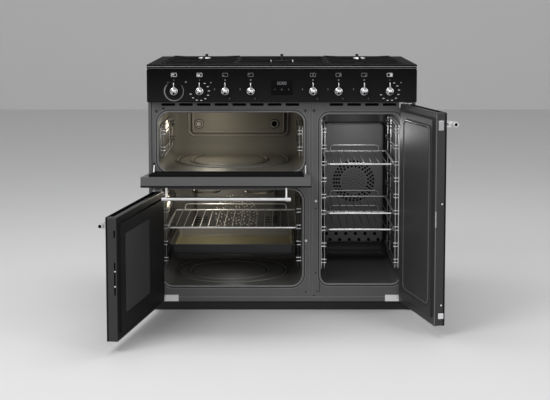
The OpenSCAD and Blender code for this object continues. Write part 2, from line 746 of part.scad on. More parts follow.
// a bar along X with a bracket and an end ring at each end
module bar_handle(x, z) color([0.85, 0.85, 0.87]) {
    y = face_y - bar_out;
    rod_x(x, y, z, bar_r);
    for (s = [0, 1]) {
        end = x[s] + (s == 0 ? ring_len / 2 : -ring_len / 2);
        foot = x[s] + (s == 0 ? ring_len + bracket_t / 2 : -ring_len - bracket_t / 2);
        difference() {
            union() {
                rod_x([end - ring_len / 2, end + ring_len / 2], y, z, ring_r);
                rod_x([foot - bracket_t / 2, foot + bracket_t / 2], y, z, ring_r);
                box([foot - bracket_t / 2, foot + bracket_t / 2], [y, face_y], [z - ring_r, z + ring_r]);
            }
            outer = x[s] + (s == 0 ? -1 : 1) * eps;
            inner = x[s] + (s == 0 ? 1 : -1) * 4;
            rod_x([min(outer, inner), max(outer, inner)], y, z, bar_r - 2);
            box([foot - bracket_t, foot + bracket_t], [face_y - 18, face_y - 12], [z - 4, z + 4]);
        }
    }
}

module grill_door_shell() color([0.1, 0.1, 0.105]) grill_swing() {
    z = [grill_bottom, upper_top];
    difference() {
        union() {
            door_shell([left_x0, left_x1], z);
            rod_x([left_x0 + skin / 2, arm_x[0] - notch_w / 2], pin_y, grill_pin_z, 7.5);
            rod_x([arm_x[1] + notch_w / 2, left_x1 - skin / 2], pin_y, grill_pin_z, 7.5);
        }
        door_window([left_x0, left_x1], z);
        for (x = arm_x)
            box([x - notch_w / 2, x + notch_w / 2], [face_y + skin + 0.4, shell_y + eps],
                [z[0] - eps, grill_pin_z + 44]);
        rod_x([left_x0 + skin, arm_x[0]], pin_y, grill_pin_z, pin_r + run);
        rod_x([arm_x[1], left_x1 - skin], pin_y, grill_pin_z, pin_r + run);
    }
}

// air slots in the upper edge of a door
module door_vents(x, top) {
    for (i = [-3:3])
        box([(x[0] + x[1]) / 2 + i * 46 - 16, (x[0] + x[1]) / 2 + i * 46 + 16],
            [face_y + 12, face_y + 18], [top - skin - eps, top + eps]);
}

module grill_door_glass() color([0.05, 0.05, 0.055]) grill_swing()
    door_panes([left_x0, left_x1], [grill_bottom, upper_top]);

module grill_door_handle() grill_swing()
    bar_handle([left_x0 + left_bar_inset, left_x1 - left_bar_inset], upper_bar_z);

// bosses for the upper and lower hinge pins of a side-hung door
module pin_bosses(x, z) {
    rod_z(x, pin_y, [z[0] + skin / 2, z[0] + 20], 7.5);
    rod_z(x, pin_y, [z[1] - 20, z[1] - skin / 2], 7.5);
}
module pin_bores(x, z) {
    rod_z(x, pin_y, [z[0] - eps, z[0] + 18], pin_r + run);
    rod_z(x, pin_y, [z[1] - 18, z[1] + eps], pin_r + run);
}

// a recess in the free edge of a side-hung door for its catch plate
module catch_recess(x, z) {
    box(x, [face_y + 13, shell_y - skin - 3], [z - catch_drop - 17, z - catch_drop + 17]);
}

module main_door_shell() color([0.1, 0.1, 0.105]) main_swing() {
    z = [door_bottom, main_top];
    difference() {
        union() {
            door_shell([left_x0, left_x1], z);
            pin_bosses(main_pin_x, z);
        }
        pin_bores(main_pin_x, z);
        door_window([left_x0, left_x1], z);
        door_vents([left_x0, left_x1], z[1]);
        catch_recess([left_x1 - skin - eps, left_x1 + eps], catches[0][1]);
    }
}

module main_door_glass() color([0.05, 0.05, 0.055]) main_swing()
    door_panes([left_x0, left_x1], [door_bottom, main_top]);

module main_door_handle() main_swing()
    bar_handle([left_x0 + left_bar_inset, left_x1 - left_bar_inset], main_bar_z);

module tall_door_shell() color([0.1, 0.1, 0.105]) tall_swing() {
    z = [door_bottom, upper_top];
    difference() {
        union() {
            door_shell([tall_x0, tall_x1], z);
            pin_bosses(tall_pin_x, z);
        }
        pin_bores(tall_pin_x, z);
        door_vents([tall_x0, tall_x1], z[1]);
        catch_recess([tall_x0 - eps, tall_x0 + skin + eps], catches[1][1]);
    }
}

module tall_door_liner() color([0.2, 0.2, 0.205]) tall_swing() {
    x = [tall_x0 + door_border + fit, tall_x1 - door_border - fit];
    z = [door_bottom + door_border + fit, upper_top - door_border - fit];
    difference() {
        slab(x, [shell_y - skin, liner_y], z, door_corner_r);
        slab([x[0] + sheet, x[1] - sheet], [shell_y - skin - eps, liner_y - sheet],
            [z[0] + sheet, z[1] - sheet], door_corner_r);
        difference() {
            slab([x[0] + 26, x[1] - 26], [liner_y - 0.6, liner_y + eps], [z[0] + 26, z[1] - 26], 16);
            slab([x[0] + 32, x[1] - 32], [liner_y - 1, liner_y + 1], [z[0] + 32, z[1] - 32], 12);
        }
    }
}

module tall_door_handle() tall_swing()
    bar_handle([tall_x0 + tall_bar_inset, tall_x1 - tall_bar_inset], upper_bar_z);

// ---- hinges and catches ----
// a bracket under or over a side-hung door: a plate on the frame, a leaf and a pin
module side_hinge(x, s, plate_len, leaf_z, pin_z, plate_z) {
    plate_y = frame_y - 2.5;
    box([min(x - s * 3, x + s * plate_len), max(x - s * 3, x + s * plate_len)], [plate_y, frame_y], plate_z);
    box([min(x - s * 8, x + s * 16), max(x - s * 8, x + s * 16)], [pin_y, frame_y], leaf_z);
    rod_z(x, pin_y, leaf_z, 8);
    rod_z(x, pin_y, pin_z, pin_r);
}

module hinge_brackets() color("silver") {
    low = [door_bottom - 4, door_bottom - 1];
    low_pin = [low[0], door_bottom + 16];
    low_plate = [low[0], door_bottom + 18];
    side_hinge(main_pin_x, 1, 74, low, low_pin, low_plate);
    side_hinge(tall_pin_x, -1, 74, low, low_pin, low_plate);
    main_high = [main_top + 2, main_top + 4.5];
    side_hinge(main_pin_x, 1, 20, main_high, [main_top - 16, main_high[1]], [main_top - 14, main_high[1]]);
    tall_high = [upper_top + 1.5, upper_top + 4];
    side_hinge(tall_pin_x, -1, 31, tall_high, [upper_top - 16, tall_high[1]], [upper_top - 14, tall_high[1]]);
    for (x = arm_x) {
        translate([x - arm_t / 2, 0, 0]) rotate([90, 0, 90]) linear_extrude(arm_t)
            polygon([[pin_y, grill_pin_z - 5.5], [frame_y, grill_pin_z - 5.5], [frame_y + 14, grill_pin_z],
                [frame_y + 14, grill_pin_z + 48], [frame_y, grill_pin_z + 48], [pin_y, grill_pin_z + 5.5]]);
        rod_x([x - arm_t / 2, x + arm_t / 2], pin_y, grill_pin_z, 5.5);
    }
    rod_x([left_x0 + skin + 1, arm_x[0]], pin_y, grill_pin_z, pin_r);
    rod_x([arm_x[1], left_x1 - skin - 1], pin_y, grill_pin_z, pin_r);
}

// the catches of the main and tall doors: place on the frame
catch_r = 4.5;
catches = [[left_x1 - 11, 241], [tall_x0 + 18, 377]];
catch_drop = 14;

module door_catch(c) color("silver") {
    rod_y(c[0], [frame_y - 6, frame_y + 12], c[1], catch_r);
    translate([c[0], frame_y - 6, c[1]]) sphere(catch_r);
}

base_pan();
side_panels();
rear_panel();
front_frame();
plinth();
levelling_feet();
control_panel();
hob_trim();
hob_tray();
grate(-basin_x + 6, -mid_grate_w / 2 - 1.5, [BURNERS[0], BURNERS[1]]);  // grate_left
grate(-mid_grate_w / 2, mid_grate_w / 2, [BURNERS[2]]);  // grate_middle
grate(mid_grate_w / 2 + 1.5, basin_x - 6, [BURNERS[3], BURNERS[4]]);  // grate_right
burner_cups();
burner_spreaders();
burner_caps();
clock_display();
cavity(grill_x, grill_w, grill_floor, grill_h, grill_r, 0);  // grill_cavity
cavity(main_x, main_w, main_floor, main_h, main_r, main_fan_z);  // main_cavity
cavity(tall_x, tall_w, tall_floor, tall_h, tall_r, tall_fan_z);  // tall_cavity
hairpin(grill_x, grill_floor + grill_h - grill_tube_drop, 6, grill_leg_pitch, oven_y0 + grill_tube_y);  // grill_element
hairpin(main_x, main_floor + main_h - roof_tube_drop, 4, roof_leg_pitch, oven_y0 + roof_tube_y);  // roof_element
union() {  // fan_ring_elements
    ring_element(main_x, main_fan_z);
    ring_element(tall_x, tall_fan_z);
}
union() {  // fan_covers
    fan_cover(main_x, main_cover_w, main_floor + 60, main_cover_h, main_fan_z);
    fan_cover(tall_x, tall_cover_w, tall_floor + 56, tall_cover_h, tall_fan_z);
}
union() {  // fan_motors
    fan_motor(main_x, main_fan_z);
    fan_motor(tall_x, tall_fan_z);
}
side_racks(grill_x, grill_w, grill_rung);  // grill_side_racks
side_racks(main_x, main_w, main_rung);  // main_side_racks
side_racks(tall_x, tall_w, tall_rung);  // tall_side_racks
hinge_brackets();
gas_rail_and_switches();
fan(main_x, main_fan_z);  // main_fan
fan(tall_x, tall_fan_z);  // tall_fan
wire_shelf(main_x, main_w, main_rung[2] + shelf_lift, 14);  // main_shelf
deep_tray();
wire_shelf(tall_x, tall_w, tall_rung[6] + shelf_lift, 8);  // tall_shelf_top
wire_shelf(tall_x, tall_w, tall_rung[3] + shelf_lift, 8);  // tall_shelf_middle
wire_shelf(tall_x, tall_w, tall_rung[2] + shelf_lift, 8);  // tall_shelf_bottom
grill_door_shell();
grill_door_glass();
grill_door_handle();
main_door_shell();
main_door_glass();
main_door_handle();
tall_door_shell();
tall_door_liner();
tall_door_handle();
door_catch(catches[0]);  // main_door_catch
door_catch(catches[1]);  // tall_door_catch
knob(1);  // knob_1
knob(2);  // knob_2
knob(3);  // knob_3
knob(4);  // knob_4
knob(5);  // knob_5
knob(6);  // knob_6
knob(7);  // knob_7
knob(8);  // knob_8
tap_spindle(3);  // tap_spindle_3
tap_spindle(4);  // tap_spindle_4
tap_spindle(5);  // tap_spindle_5
tap_spindle(6);  // tap_spindle_6
tap_spindle(7);  // tap_spindle_7
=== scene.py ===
# Looks for the range cooker: finishes, wire racks, oven linings, knobs, prints and lights.
import json
import math

import bmesh
import bpy
import numpy as np
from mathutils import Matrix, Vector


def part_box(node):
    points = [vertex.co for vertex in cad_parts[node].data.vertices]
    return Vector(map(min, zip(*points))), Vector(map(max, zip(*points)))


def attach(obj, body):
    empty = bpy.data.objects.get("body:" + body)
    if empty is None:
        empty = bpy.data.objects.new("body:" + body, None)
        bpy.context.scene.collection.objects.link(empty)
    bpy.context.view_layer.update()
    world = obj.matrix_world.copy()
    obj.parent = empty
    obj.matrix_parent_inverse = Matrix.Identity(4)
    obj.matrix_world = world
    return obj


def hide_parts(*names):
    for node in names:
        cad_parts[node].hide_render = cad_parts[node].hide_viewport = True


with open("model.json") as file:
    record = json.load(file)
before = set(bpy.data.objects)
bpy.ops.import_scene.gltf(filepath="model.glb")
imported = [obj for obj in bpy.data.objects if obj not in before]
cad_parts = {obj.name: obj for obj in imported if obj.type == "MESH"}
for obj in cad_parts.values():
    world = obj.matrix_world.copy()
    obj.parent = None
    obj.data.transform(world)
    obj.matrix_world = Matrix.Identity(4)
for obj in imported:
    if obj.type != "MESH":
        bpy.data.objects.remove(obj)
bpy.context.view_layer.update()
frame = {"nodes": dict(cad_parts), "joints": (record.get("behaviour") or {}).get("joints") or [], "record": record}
nodes = frame["nodes"]


def boxOf(node):
    return tuple(np.array(corner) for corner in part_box(node))


def linked(name, data):
    thing = bpy.data.objects.new(name, data)
    bpy.context.collection.objects.link(thing)
    return thing


# camera, room and lights
camera = {"place": (0.0, -4.671, 1.073), "pitch": 5.82, "lens": 86.25, "film": 36, "shift": (-0.0124, -0.13)}
room = {"floor": (0.66, 0.66, 0.665), "wall": (0.74, 0.74, 0.745), "world": 0.5, "side": 9, "front": -8, "back": 7.6,
        "top": 7, "lift": -0.0005}
lamps = {    # place, aim, width, height, watts
    "keyLamp": ((-1.9, -2.6, 2.9), (0.0, -0.1, 0.5), 1.8, 1.8, 62),
    "fillLamp": ((2.6, -2.8, 1.6), (0.0, -0.2, 0.4), 1.6, 1.6, 26),
    "topLamp": ((0.0, 0.2, 3.0), (0.0, 0.0, 0.6), 2.4, 1.4, 36),
    "frontLamp": ((0.3, -4.4, 1.5), (0.0, 0.0, 0.4), 1.6, 1.0, 22)}
ovenBulbs = {    # place, colour, watts, radius
    "grillBulb": ((-0.250, 0.050, 0.600), (1.0, 0.92, 0.76), 1.05, 0.05),
    "mainBulb": ((-0.250, 0.030, 0.360), (1.0, 0.91, 0.75), 0.58, 0.04),
    "tallBulb": ((0.267, -0.040, 0.590), (1.0, 1.0, 1.0), 0.90, 0.04),
    "lowBulb": ((-0.170, -0.120, 0.165), (1.0, 1.0, 1.0), 0.10, 0.05)}


def aimed(thing, place, target):
    # turns an object at place so that its -Z axis points to target
    step = np.array(target, float) - np.array(place, float)
    thing.location = place
    thing.rotation_euler = (math.atan2(math.hypot(step[0], step[1]), -step[2]), 0,
                            math.atan2(step[1], step[0]) - math.pi / 2)


def addCamera():
    data = bpy.data.cameras.new("camera")
    data.lens, data.sensor_width = camera["lens"], camera["film"]
    data.shift_x, data.shift_y = camera["shift"]
    thing = linked("camera", data)
    thing.location = camera["place"]
    thing.rotation_euler = (math.radians(90 - camera["pitch"]), 0, 0)
    bpy.context.scene.camera = thing


def addLamps():
    for name, (place, colour, power, size) in ovenBulbs.items():
        data = bpy.data.lights.new(name, "POINT")
        data.color, data.energy, data.shadow_soft_size = colour, power, size
        thing = linked(name, data)
        thing.location = place
        thing.visible_camera = False
    for name, (place, target, width, height, power) in lamps.items():
        data = bpy.data.lights.new(name, "AREA")
        data.shape, data.size, data.size_y, data.energy = "RECTANGLE", width, height, power
        aimed(linked(name, data), place, target)
    world = bpy.data.worlds.new("softRoom")
    world.use_nodes = True
    sky = world.node_tree.nodes["Background"].inputs
    sky[0].default_value, sky[1].default_value = (1, 1, 1, 1), room["world"]
    bpy.context.scene.world = world
    bpy.context.scene.view_settings.view_transform = "Standard"


def addRoom():
    side, front, back, top = (room[key] for key in ("side", "front", "back", "top"))
    for name, points, colour in (
            ("floor", [(-side, front, 0), (side, front, 0), (side, back, 0), (-side, back, 0)], room["floor"]),
            ("backdrop", [(-side, back, 0), (side, back, 0), (side, back, top), (-side, back, top)], room["wall"])):
        mesh = bpy.data.meshes.new(name)
        mesh.from_pydata([(x, y, z + room["lift"]) for x, y, z in points], [], [(0, 1, 2, 3)])
        f = Finish(name + "Paint")
        tone = f.mix(f.noise(3, 2), tuple(c * 0.98 for c in colour), colour)
        mesh.materials.append(f.done(base=tone, rough=0.75))
        linked(name, mesh)


# finishes: shader sums written as Python expressions
class Field:
    # a socket that takes part in Python sums; each operator adds a Math node
    def __init__(self, maker, socket):
        self.maker, self.socket = maker, socket

    def sum(self, operation, first, second):
        return self.maker.node("ShaderNodeMath", {"operation": operation}, {0: first, 1: second})

    def __add__(self, other): return self.sum("ADD", self, other)
    def __sub__(self, other): return self.sum("SUBTRACT", self, other)
    def __rsub__(self, other): return self.sum("SUBTRACT", other, self)
    def __mul__(self, other): return self.sum("MULTIPLY", self, other)
    def __gt__(self, other): return self.sum("GREATER_THAN", self, other)
    def __lt__(self, other): return self.sum("LESS_THAN", self, other)
    __radd__, __rmul__ = __add__, __mul__


class Finish:
    # one material; its methods add nodes and return Fields
    def __init__(self, name):
        self.material = bpy.data.materials.new(name)
        self.material.use_nodes = True
        self.tree = self.material.node_tree
        self.tree.nodes.clear()

    def node(self, kind, settings=None, inputs=None, output=0):
        made = self.tree.nodes.new(kind)
        for key, value in (settings or {}).items():
            if key == "stops":
                ramp = made.color_ramp.elements
                for spot, (place, colour) in enumerate(value):
                    stop = ramp[spot] if spot < 2 else ramp.new(place)
                    stop.position, stop.color = place, (*colour, 1)
            else:
                setattr(made, key, value)
        for key, value in (inputs or {}).items():
            if isinstance(value, Field):
                self.tree.links.new(value.socket, made.inputs[key])
            else:
                made.inputs[key].default_value = value
        return Field(self, made.outputs[output])

    def place(self):
        return self.node("ShaderNodeTexCoord", output="Object")

    def axis(self, name):
        return self.node("ShaderNodeSeparateXYZ", None, {0: self.place()}, name)

    def noise(self, scale, detail=3.0, rough=0.5, stretch=None):
        where = self.place()
        if stretch:
            where = self.node("ShaderNodeMapping", None, {"Vector": where, "Scale": stretch})
        return self.node("ShaderNodeTexNoise", None,
                         {"Vector": where, "Scale": scale, "Detail": detail, "Roughness": rough})

    def mix(self, share, first, second):
        pair = [c if isinstance(c, Field) else (*c, 1) for c in (first, second)]
        return self.node("ShaderNodeMix", {"data_type": "RGBA"}, {0: share, 6: pair[0], 7: pair[1]}, 2)

    def cloudy(self, share, colour, low, high):
        # the colour, darker by low and lighter by high
        return self.mix(share, tuple(c * low for c in colour), tuple(min(1, c * high) for c in colour))

    def ramp(self, value, *stops):
        return self.node("ShaderNodeValToRGB", {"stops": stops}, {0: value})

    def bump(self, height, depth, strength):
        return self.node("ShaderNodeBump", None, {"Height": height, "Distance": depth, "Strength": strength})

    def done(self, **inputs):
        names = {"base": "Base Color", "rough": "Roughness", "metal": "Metallic", "normal": "Normal",
                 "glow": "Emission Color", "glowStrength": "Emission Strength", "specular": "Specular IOR Level"}
        fixed = {names[k]: ((*v, 1) if isinstance(v, tuple) else v) for k, v in inputs.items()}
        shader = self.node("ShaderNodeBsdfPrincipled", None, fixed)
        out = self.tree.nodes.new("ShaderNodeOutputMaterial")
        self.tree.links.new(shader.socket, out.inputs[0])
        return self.material


def enamel(name, colour, rough, specular, speck=0.0, peel=0.3):
    # vitreous enamel: a slight orange peel, faint cloudiness and optional pale specks
    f = Finish(name)
    tone = f.cloudy(f.noise(9, 4), colour, 0.88, 1.12)
    if speck:
        dots = f.node("ShaderNodeTexVoronoi", None, {"Vector": f.place(), "Scale": 620.0})
        tone = f.mix((dots < 0.16) * speck, tone, tuple(min(1, c * 2.4) for c in colour))
    return f.done(base=tone, rough=f.noise(40, 3) * 0.08 + (rough - 0.04), specular=specular,
                  normal=f.bump(f.noise(160, 2), 0.00006, peel))


def bareMetal(name, colour, rough, brushed=0.0, direction=(1, 60, 60), grain=0.0, metal=1.0):
    # plated or bare metal: fine brush lines along one axis, or a cast grain
    f = Finish(name)
    smear = f.noise(24, 3)
    tone = f.cloudy(smear, colour, 0.93, 1)
    if brushed:
        lines = f.noise(30, 2, 0.6, direction)
        return f.done(base=tone, metal=metal, rough=lines * brushed + (rough - brushed / 2),
                      normal=f.bump(lines, 0.00005, 0.3))
    if grain:
        return f.done(base=tone, metal=metal, rough=smear * 0.1 + rough,
                      normal=f.bump(f.noise(700, 2), 0.0002, grain))
    return f.done(base=tone, metal=metal, rough=smear * 0.06 + rough)


def castIron(name, colour, rough):
    # matt enamelled iron: a sandy grain with paler worn spots
    f = Finish(name)
    sand = f.noise(900, 3, 0.7)
    return f.done(base=f.cloudy(f.noise(60, 4), colour, 0.7, 1.4), rough=sand * 0.15 + (rough - 0.07),
                  specular=0.02, normal=f.bump(sand, 0.0003, 0.5))


def paneGlass(name, colour, rough, specular):
    # dark tinted glass, read as a glossy sheet with a faint smear
    f = Finish(name)
    smear = f.noise(7, 3)
    return f.done(base=f.cloudy(smear, colour, 0.9, 1.1), rough=smear * 0.05 + rough, specular=specular)


def glow(name, base, colour, strength):
    f = Finish(name)
    return f.done(base=base, rough=f.noise(300, 2) * 0.2 + 0.2, glow=colour, glowStrength=strength)


def trayEnamel(f):
    # black enamel, golden brown and unevenly toned where the inside faces up, and paler on the inner back wall, which
    # faces the front, as painted light
    facing = f.node("ShaderNodeNewGeometry", output="Normal")
    up, back = (f.node("ShaderNodeSeparateXYZ", None, {0: facing}, way) for way in ("Z", "Y"))
    patch = f.noise(5, 4, 0.6)
    gold = f.mix(patch, (0.17, 0.152, 0.092), (0.37, 0.335, 0.205))
    tone = f.mix((up > 0.4) * (f.axis("Z") < 0.2215), (0.02, 0.02, 0.022), gold)
    # painted light: the inner back wall that faces the front is paler
    tone = f.mix((back < -0.5) * (f.axis("Y") > 0.05), tone, (0.20, 0.19, 0.165))
    return f.done(base=tone, rough=patch * 0.1 + 0.3, specular=0.2)


def panelEnamelPaintedReflection(f):
    # glossy black with a painted reflection: a little paler towards the foot of the panel
    low = f.ramp((f.axis("Z") - 0.715) * 9.2, (0.0, (0.0105, 0.0105, 0.011)), (0.45, (0.0055, 0.0055, 0.0058)),
                 (0.9, (0.0012, 0.0012, 0.0013)))
    tone = f.mix(f.noise(30, 3) * 0.2, low, (0.008, 0.008, 0.008))
    return f.done(base=tone, rough=f.noise(60, 2) * 0.06 + 0.2, specular=0.07)


def tallEnamelPaintedShade(f):
    # the tall oven's enamel, with painted shade: darker towards the back
    depth = f.ramp((f.axis("Y") - 0.100) * 10, (0.0, (0.085, 0.085, 0.086)), (0.75, (0.022, 0.022, 0.022)))
    tone = f.mix(f.noise(9, 4) * 0.2, depth, (0.03, 0.03, 0.03))
    return f.done(base=tone, rough=f.noise(40, 3) * 0.08 + 0.36, specular=0.15)


def holeEdge(f):
    # bare punched edges: a dull tone, with painted glints making some of them bright at random
    tone = f.mix(f.noise(95, 2) > 0.5, (0.20, 0.19, 0.16), (0.92, 0.89, 0.80))
    return f.done(base=tone, rough=0.35, specular=0.5)


def stainedTube(f):
    # heating tube: grey steel with straw and blue heat tints
    tint = f.ramp(f.noise(14, 3), (0.3, (0.28, 0.25, 0.22)), (0.55, (0.42, 0.36, 0.27)), (0.75, (0.24, 0.25, 0.3)))
    return f.done(base=tint, metal=1.0, rough=0.38)


enamels = {    # colour, roughness, gloss, specks, orange peel
    "casing": ((0.016, 0.016, 0.017), 0.5, 0.1),
    "plinth": ((0.022, 0.022, 0.023), 0.5, 0.12),
    "frame_enamel": ((0.096, 0.096, 0.098), 0.38, 0.3, 0.3),
    # rim: the frame's enamel painted paler, a painted highlight on the rolled rims, outer beads, flange edges and ribs
    "rim": ((0.155, 0.155, 0.157), 0.3, 0.5),
    "cover_enamel": ((0.13, 0.13, 0.131), 0.42, 0.2, 0.3, 0.12),
    "oven_enamel": ((0.085, 0.085, 0.086), 0.4, 0.2, 0.3, 0.12),
    "grill_enamel": ((0.105, 0.100, 0.086), 0.5, 0.1, 0.2, 0.12),
    "main_enamel": ((0.135, 0.132, 0.126), 0.42, 0.15, 0.3, 0.12),
    # painted shade and painted highlight: dark and pale lines set beside pressed steps, grooves, rings and gaps
    "bead_dark": ((0.022, 0.021, 0.019), 0.5, 0.05),
    "bead_light": ((0.18, 0.175, 0.16), 0.3, 0.4),
    "door_enamel": ((0.036, 0.036, 0.037), 0.38, 0.16),
    # painted light: the grill door's shell is painted paler than the other doors, where its edge faces up and catches
    # light
    "drop_enamel": ((0.085, 0.085, 0.086), 0.38, 0.2),
    "door_liner": ((0.040, 0.040, 0.041), 0.42, 0.1, 0.15),
    # painted highlights: a paler copy of the liner for the field's bead and a pale line down the tall door's edge
    "liner_bead": ((0.080, 0.080, 0.082), 0.3, 0.35),
    "edge_line": ((0.13, 0.13, 0.132), 0.35, 0.3),
    "print": ((0.5, 0.5, 0.5), 0.5, 0.1),
    "print_dim": ((0.16, 0.16, 0.16), 0.5, 0.1),
    "shadow": ((0.003, 0.003, 0.003), 0.8, 0.0)}
metals = {    # colour, roughness, brush depth, brush direction, grain, share of metal
    "galvanised": ((0.52, 0.53, 0.54), 0.42, 0.12, (30, 2, 2)),
    "steel": ((0.5, 0.5, 0.51), 0.34, 0.14),
    "trim": ((0.10, 0.10, 0.104), 0.36, 0.1),
    # painted highlight: a paler copy of the trim's steel for its bead
    "trimBead": ((0.31, 0.31, 0.315), 0.3),
    "hinge": ((0.92, 0.92, 0.92), 0.38, 0, None, 0, 0.75),
    "chrome": ((0.8, 0.8, 0.82), 0.14),
    "knob": ((0.60, 0.60, 0.61), 0.24),
    "handle": ((0.72, 0.72, 0.73), 0.32, 0, None, 0, 0.6),
    # painted highlight: a paler, brushed copy of the handle metal for the grill door's handle
    "handleBright": ((0.74, 0.74, 0.74), 0.36, 0.08, (1, 90, 90)),
    "wire": ((0.84, 0.84, 0.85), 0.28, 0, None, 0, 0.55),
    # painted light on the wires: a paler copy of the wire where it catches light, a half-dark and a dark copy where it
    # lies in shade
    "wire_front": ((0.95, 0.95, 0.95), 0.4),
    "wire_mid": ((0.42, 0.42, 0.425), 0.34, 0, None, 0, 0.7),
    "wire_dim": ((0.16, 0.16, 0.162), 0.36),
    "burner_metal": ((0.6, 0.6, 0.61), 0.4, 0, None, 0.4),
    "burner_top": ((0.88, 0.88, 0.89), 0.45, 0, None, 0.2),
    "brass": ((0.62, 0.5, 0.25), 0.3, 0.1)}
irons = {"hob_black": ((0.0038, 0.0038, 0.0042), 0.5), "cast_iron": ((0.017, 0.017, 0.018), 0.7),
         "burner_cap": ((0.012, 0.012, 0.013), 0.6)}
glasses = {    # colour, roughness, gloss
    "display": ((0.0028, 0.0028, 0.0032), 0.2, 0.05), "door_front": ((0.006, 0.006, 0.0065), 0.1, 0.2),
    "door_glass": ((0.0145, 0.0145, 0.0155), 0.4, 0.01), "drop_glass": ((0.009, 0.009, 0.0095), 0.5, 0.0),
    "window": ((0.046, 0.046, 0.047), 0.5, 0.0)}
glows = {"lens": ((0.8, 0.78, 0.7), (1.0, 0.88, 0.66), 1.6), "digits": ((0.2, 0.2, 0.22), (0.75, 0.8, 0.85), 0.12)}
others = {"tray_enamel": trayEnamel, "panel_black": panelEnamelPaintedReflection, "tall_enamel": tallEnamelPaintedShade, "hole_rim": holeEdge,
          "element": stainedTube}
finishes = {name: maker(name, *values) for maker, table in (
    (enamel, enamels), (bareMetal, metals), (castIron, irons), (paneGlass, glasses), (glow, glows))
    for name, values in table.items()}
finishes.update({name: maker(Finish(name)) for name, maker in others.items()})


# surfaces worked out with numpy
def gridFaces(rows, columns, wrapRows=False):
    # quads between neighbours on a grid of rows x columns points, closed round the columns
    i, j = np.meshgrid(np.arange(rows if wrapRows else rows - 1), np.arange(columns), indexing="ij")
    nextI, nextJ = (i + 1) % rows, (j + 1) % columns
    quads = np.stack([i * columns + j, nextI * columns + j, nextI * columns + nextJ, i * columns + nextJ], -1)
    return quads.reshape(-1, 4)


def capFaces(ring, centre, flip):
    # a fan of triangles from a ring of point numbers to a centre point
    after, middle = np.roll(ring, -1), np.full(len(ring), centre)
    return np.stack([after, ring, middle] if flip else [ring, after, middle], -1)


def stacked(parts):
    # joins (points, faces) parts into one, with the faces as lists
    points, faces, start = [], [], 0
    for partPoints, partFaces in parts:
        points.append(partPoints)
        for block in partFaces:
            faces += (np.asarray(block) + start).tolist()
        start += len(partPoints)
    return np.concatenate(points), faces


def loft(loops):
    # loops: (rows, columns, 3), each row a closed loop; the first and last rows are capped at their middles
    rows, columns = loops.shape[:2]
    ring = np.arange(columns)
    points = np.concatenate([loops.reshape(-1, 3), loops[0].mean(0)[None], loops[-1].mean(0)[None]])
    return points, [gridFaces(rows, columns), capFaces(ring, rows * columns, True),
                    capFaces(ring + (rows - 1) * columns, rows * columns + 1, False)]


def tube(path, radius, normal=(0, 1, 0), sides=12, closed=False):
    # a round section carried along a flat path; normal is square to the plane of the path
    path = np.asarray(path, float)
    along = np.roll(path, -1, 0) - np.roll(path, 1, 0) if closed else np.gradient(path, axis=0)
    along /= np.linalg.norm(along, axis=1, keepdims=True)
    flat = np.broadcast_to(np.asarray(normal, float), path.shape)
    side = np.cross(along, flat)
    side /= np.linalg.norm(side, axis=1, keepdims=True)
    turn = np.linspace(0, 2 * np.pi, sides, endpoint=False)[None, :, None]
    loops = path[:, None] + radius * (np.cos(turn) * flat[:, None] + np.sin(turn) * side[:, None])
    if closed:
        return loops.reshape(-1, 3), [gridFaces(len(path), sides, True)[:, ::-1]]
    return loft(loops[:, ::-1])


def bent(corners, radius, closed=False, steps=7):
    # a path through corners, each rounded by an arc of a quadratic curve that starts radius before it
    corners = np.asarray(corners, float)
    count = len(corners)
    t = np.linspace(0, 1, steps)[:, None]
    path = []
    for k, here in enumerate(corners):
        if not closed and k in (0, count - 1):
            path.append(here[None])
            continue
        ends = []
        for other in (corners[k - 1], corners[(k + 1) % count]):
            length = np.linalg.norm(other - here)
            ends.append(here + (other - here) / length * min(radius, length * 0.49))
        path.append((1 - t) ** 2 * ends[0] + 2 * t * (1 - t) * here + t ** 2 * ends[1])
    return np.concatenate(path)


def turned(profile, centre, axis="y", sides=40):
    # a profile of (radius, place along the axis) spun about that axis through centre
    profile = np.asarray(profile, float)
    turn = np.linspace(0, 2 * np.pi, sides, endpoint=False)
    radius, along = profile[:, :1], profile[:, 1:] + np.zeros(sides)
    a, b = radius * np.cos(turn), radius * np.sin(turn)
    order = {"x": (along, a, b), "y": (b, along, a), "z": (a, b, along)}[axis]
    return loft(np.stack(order, -1) + np.asarray(centre, float))


def roundedLoop(halfWidth, halfHeight, radius, steps=8):
    # a rectangle with round corners as (columns, 2) points, counter-clockwise
    t = np.linspace(0, np.pi / 2, steps)
    return np.concatenate([np.stack([sx * (halfWidth - radius) + radius * np.cos(t + k * np.pi / 2),
                                     sz * (halfHeight - radius) + radius * np.sin(t + k * np.pi / 2)], -1)
                           for k, (sx, sz) in enumerate(((1, 1), (-1, 1), (-1, -1), (1, -1)))])


def placed(flat, depth, axis="y"):
    # points in a plane and their depth along the axis square to it
    flat = np.asarray(flat, float)
    depth = np.broadcast_to(depth, len(flat))
    order = {"y": (flat[:, 0], depth, flat[:, 1]), "x": (depth, flat[:, 0], flat[:, 1]),
             "z": (flat[:, 0], flat[:, 1], depth)}[axis]
    return np.stack(order, -1)


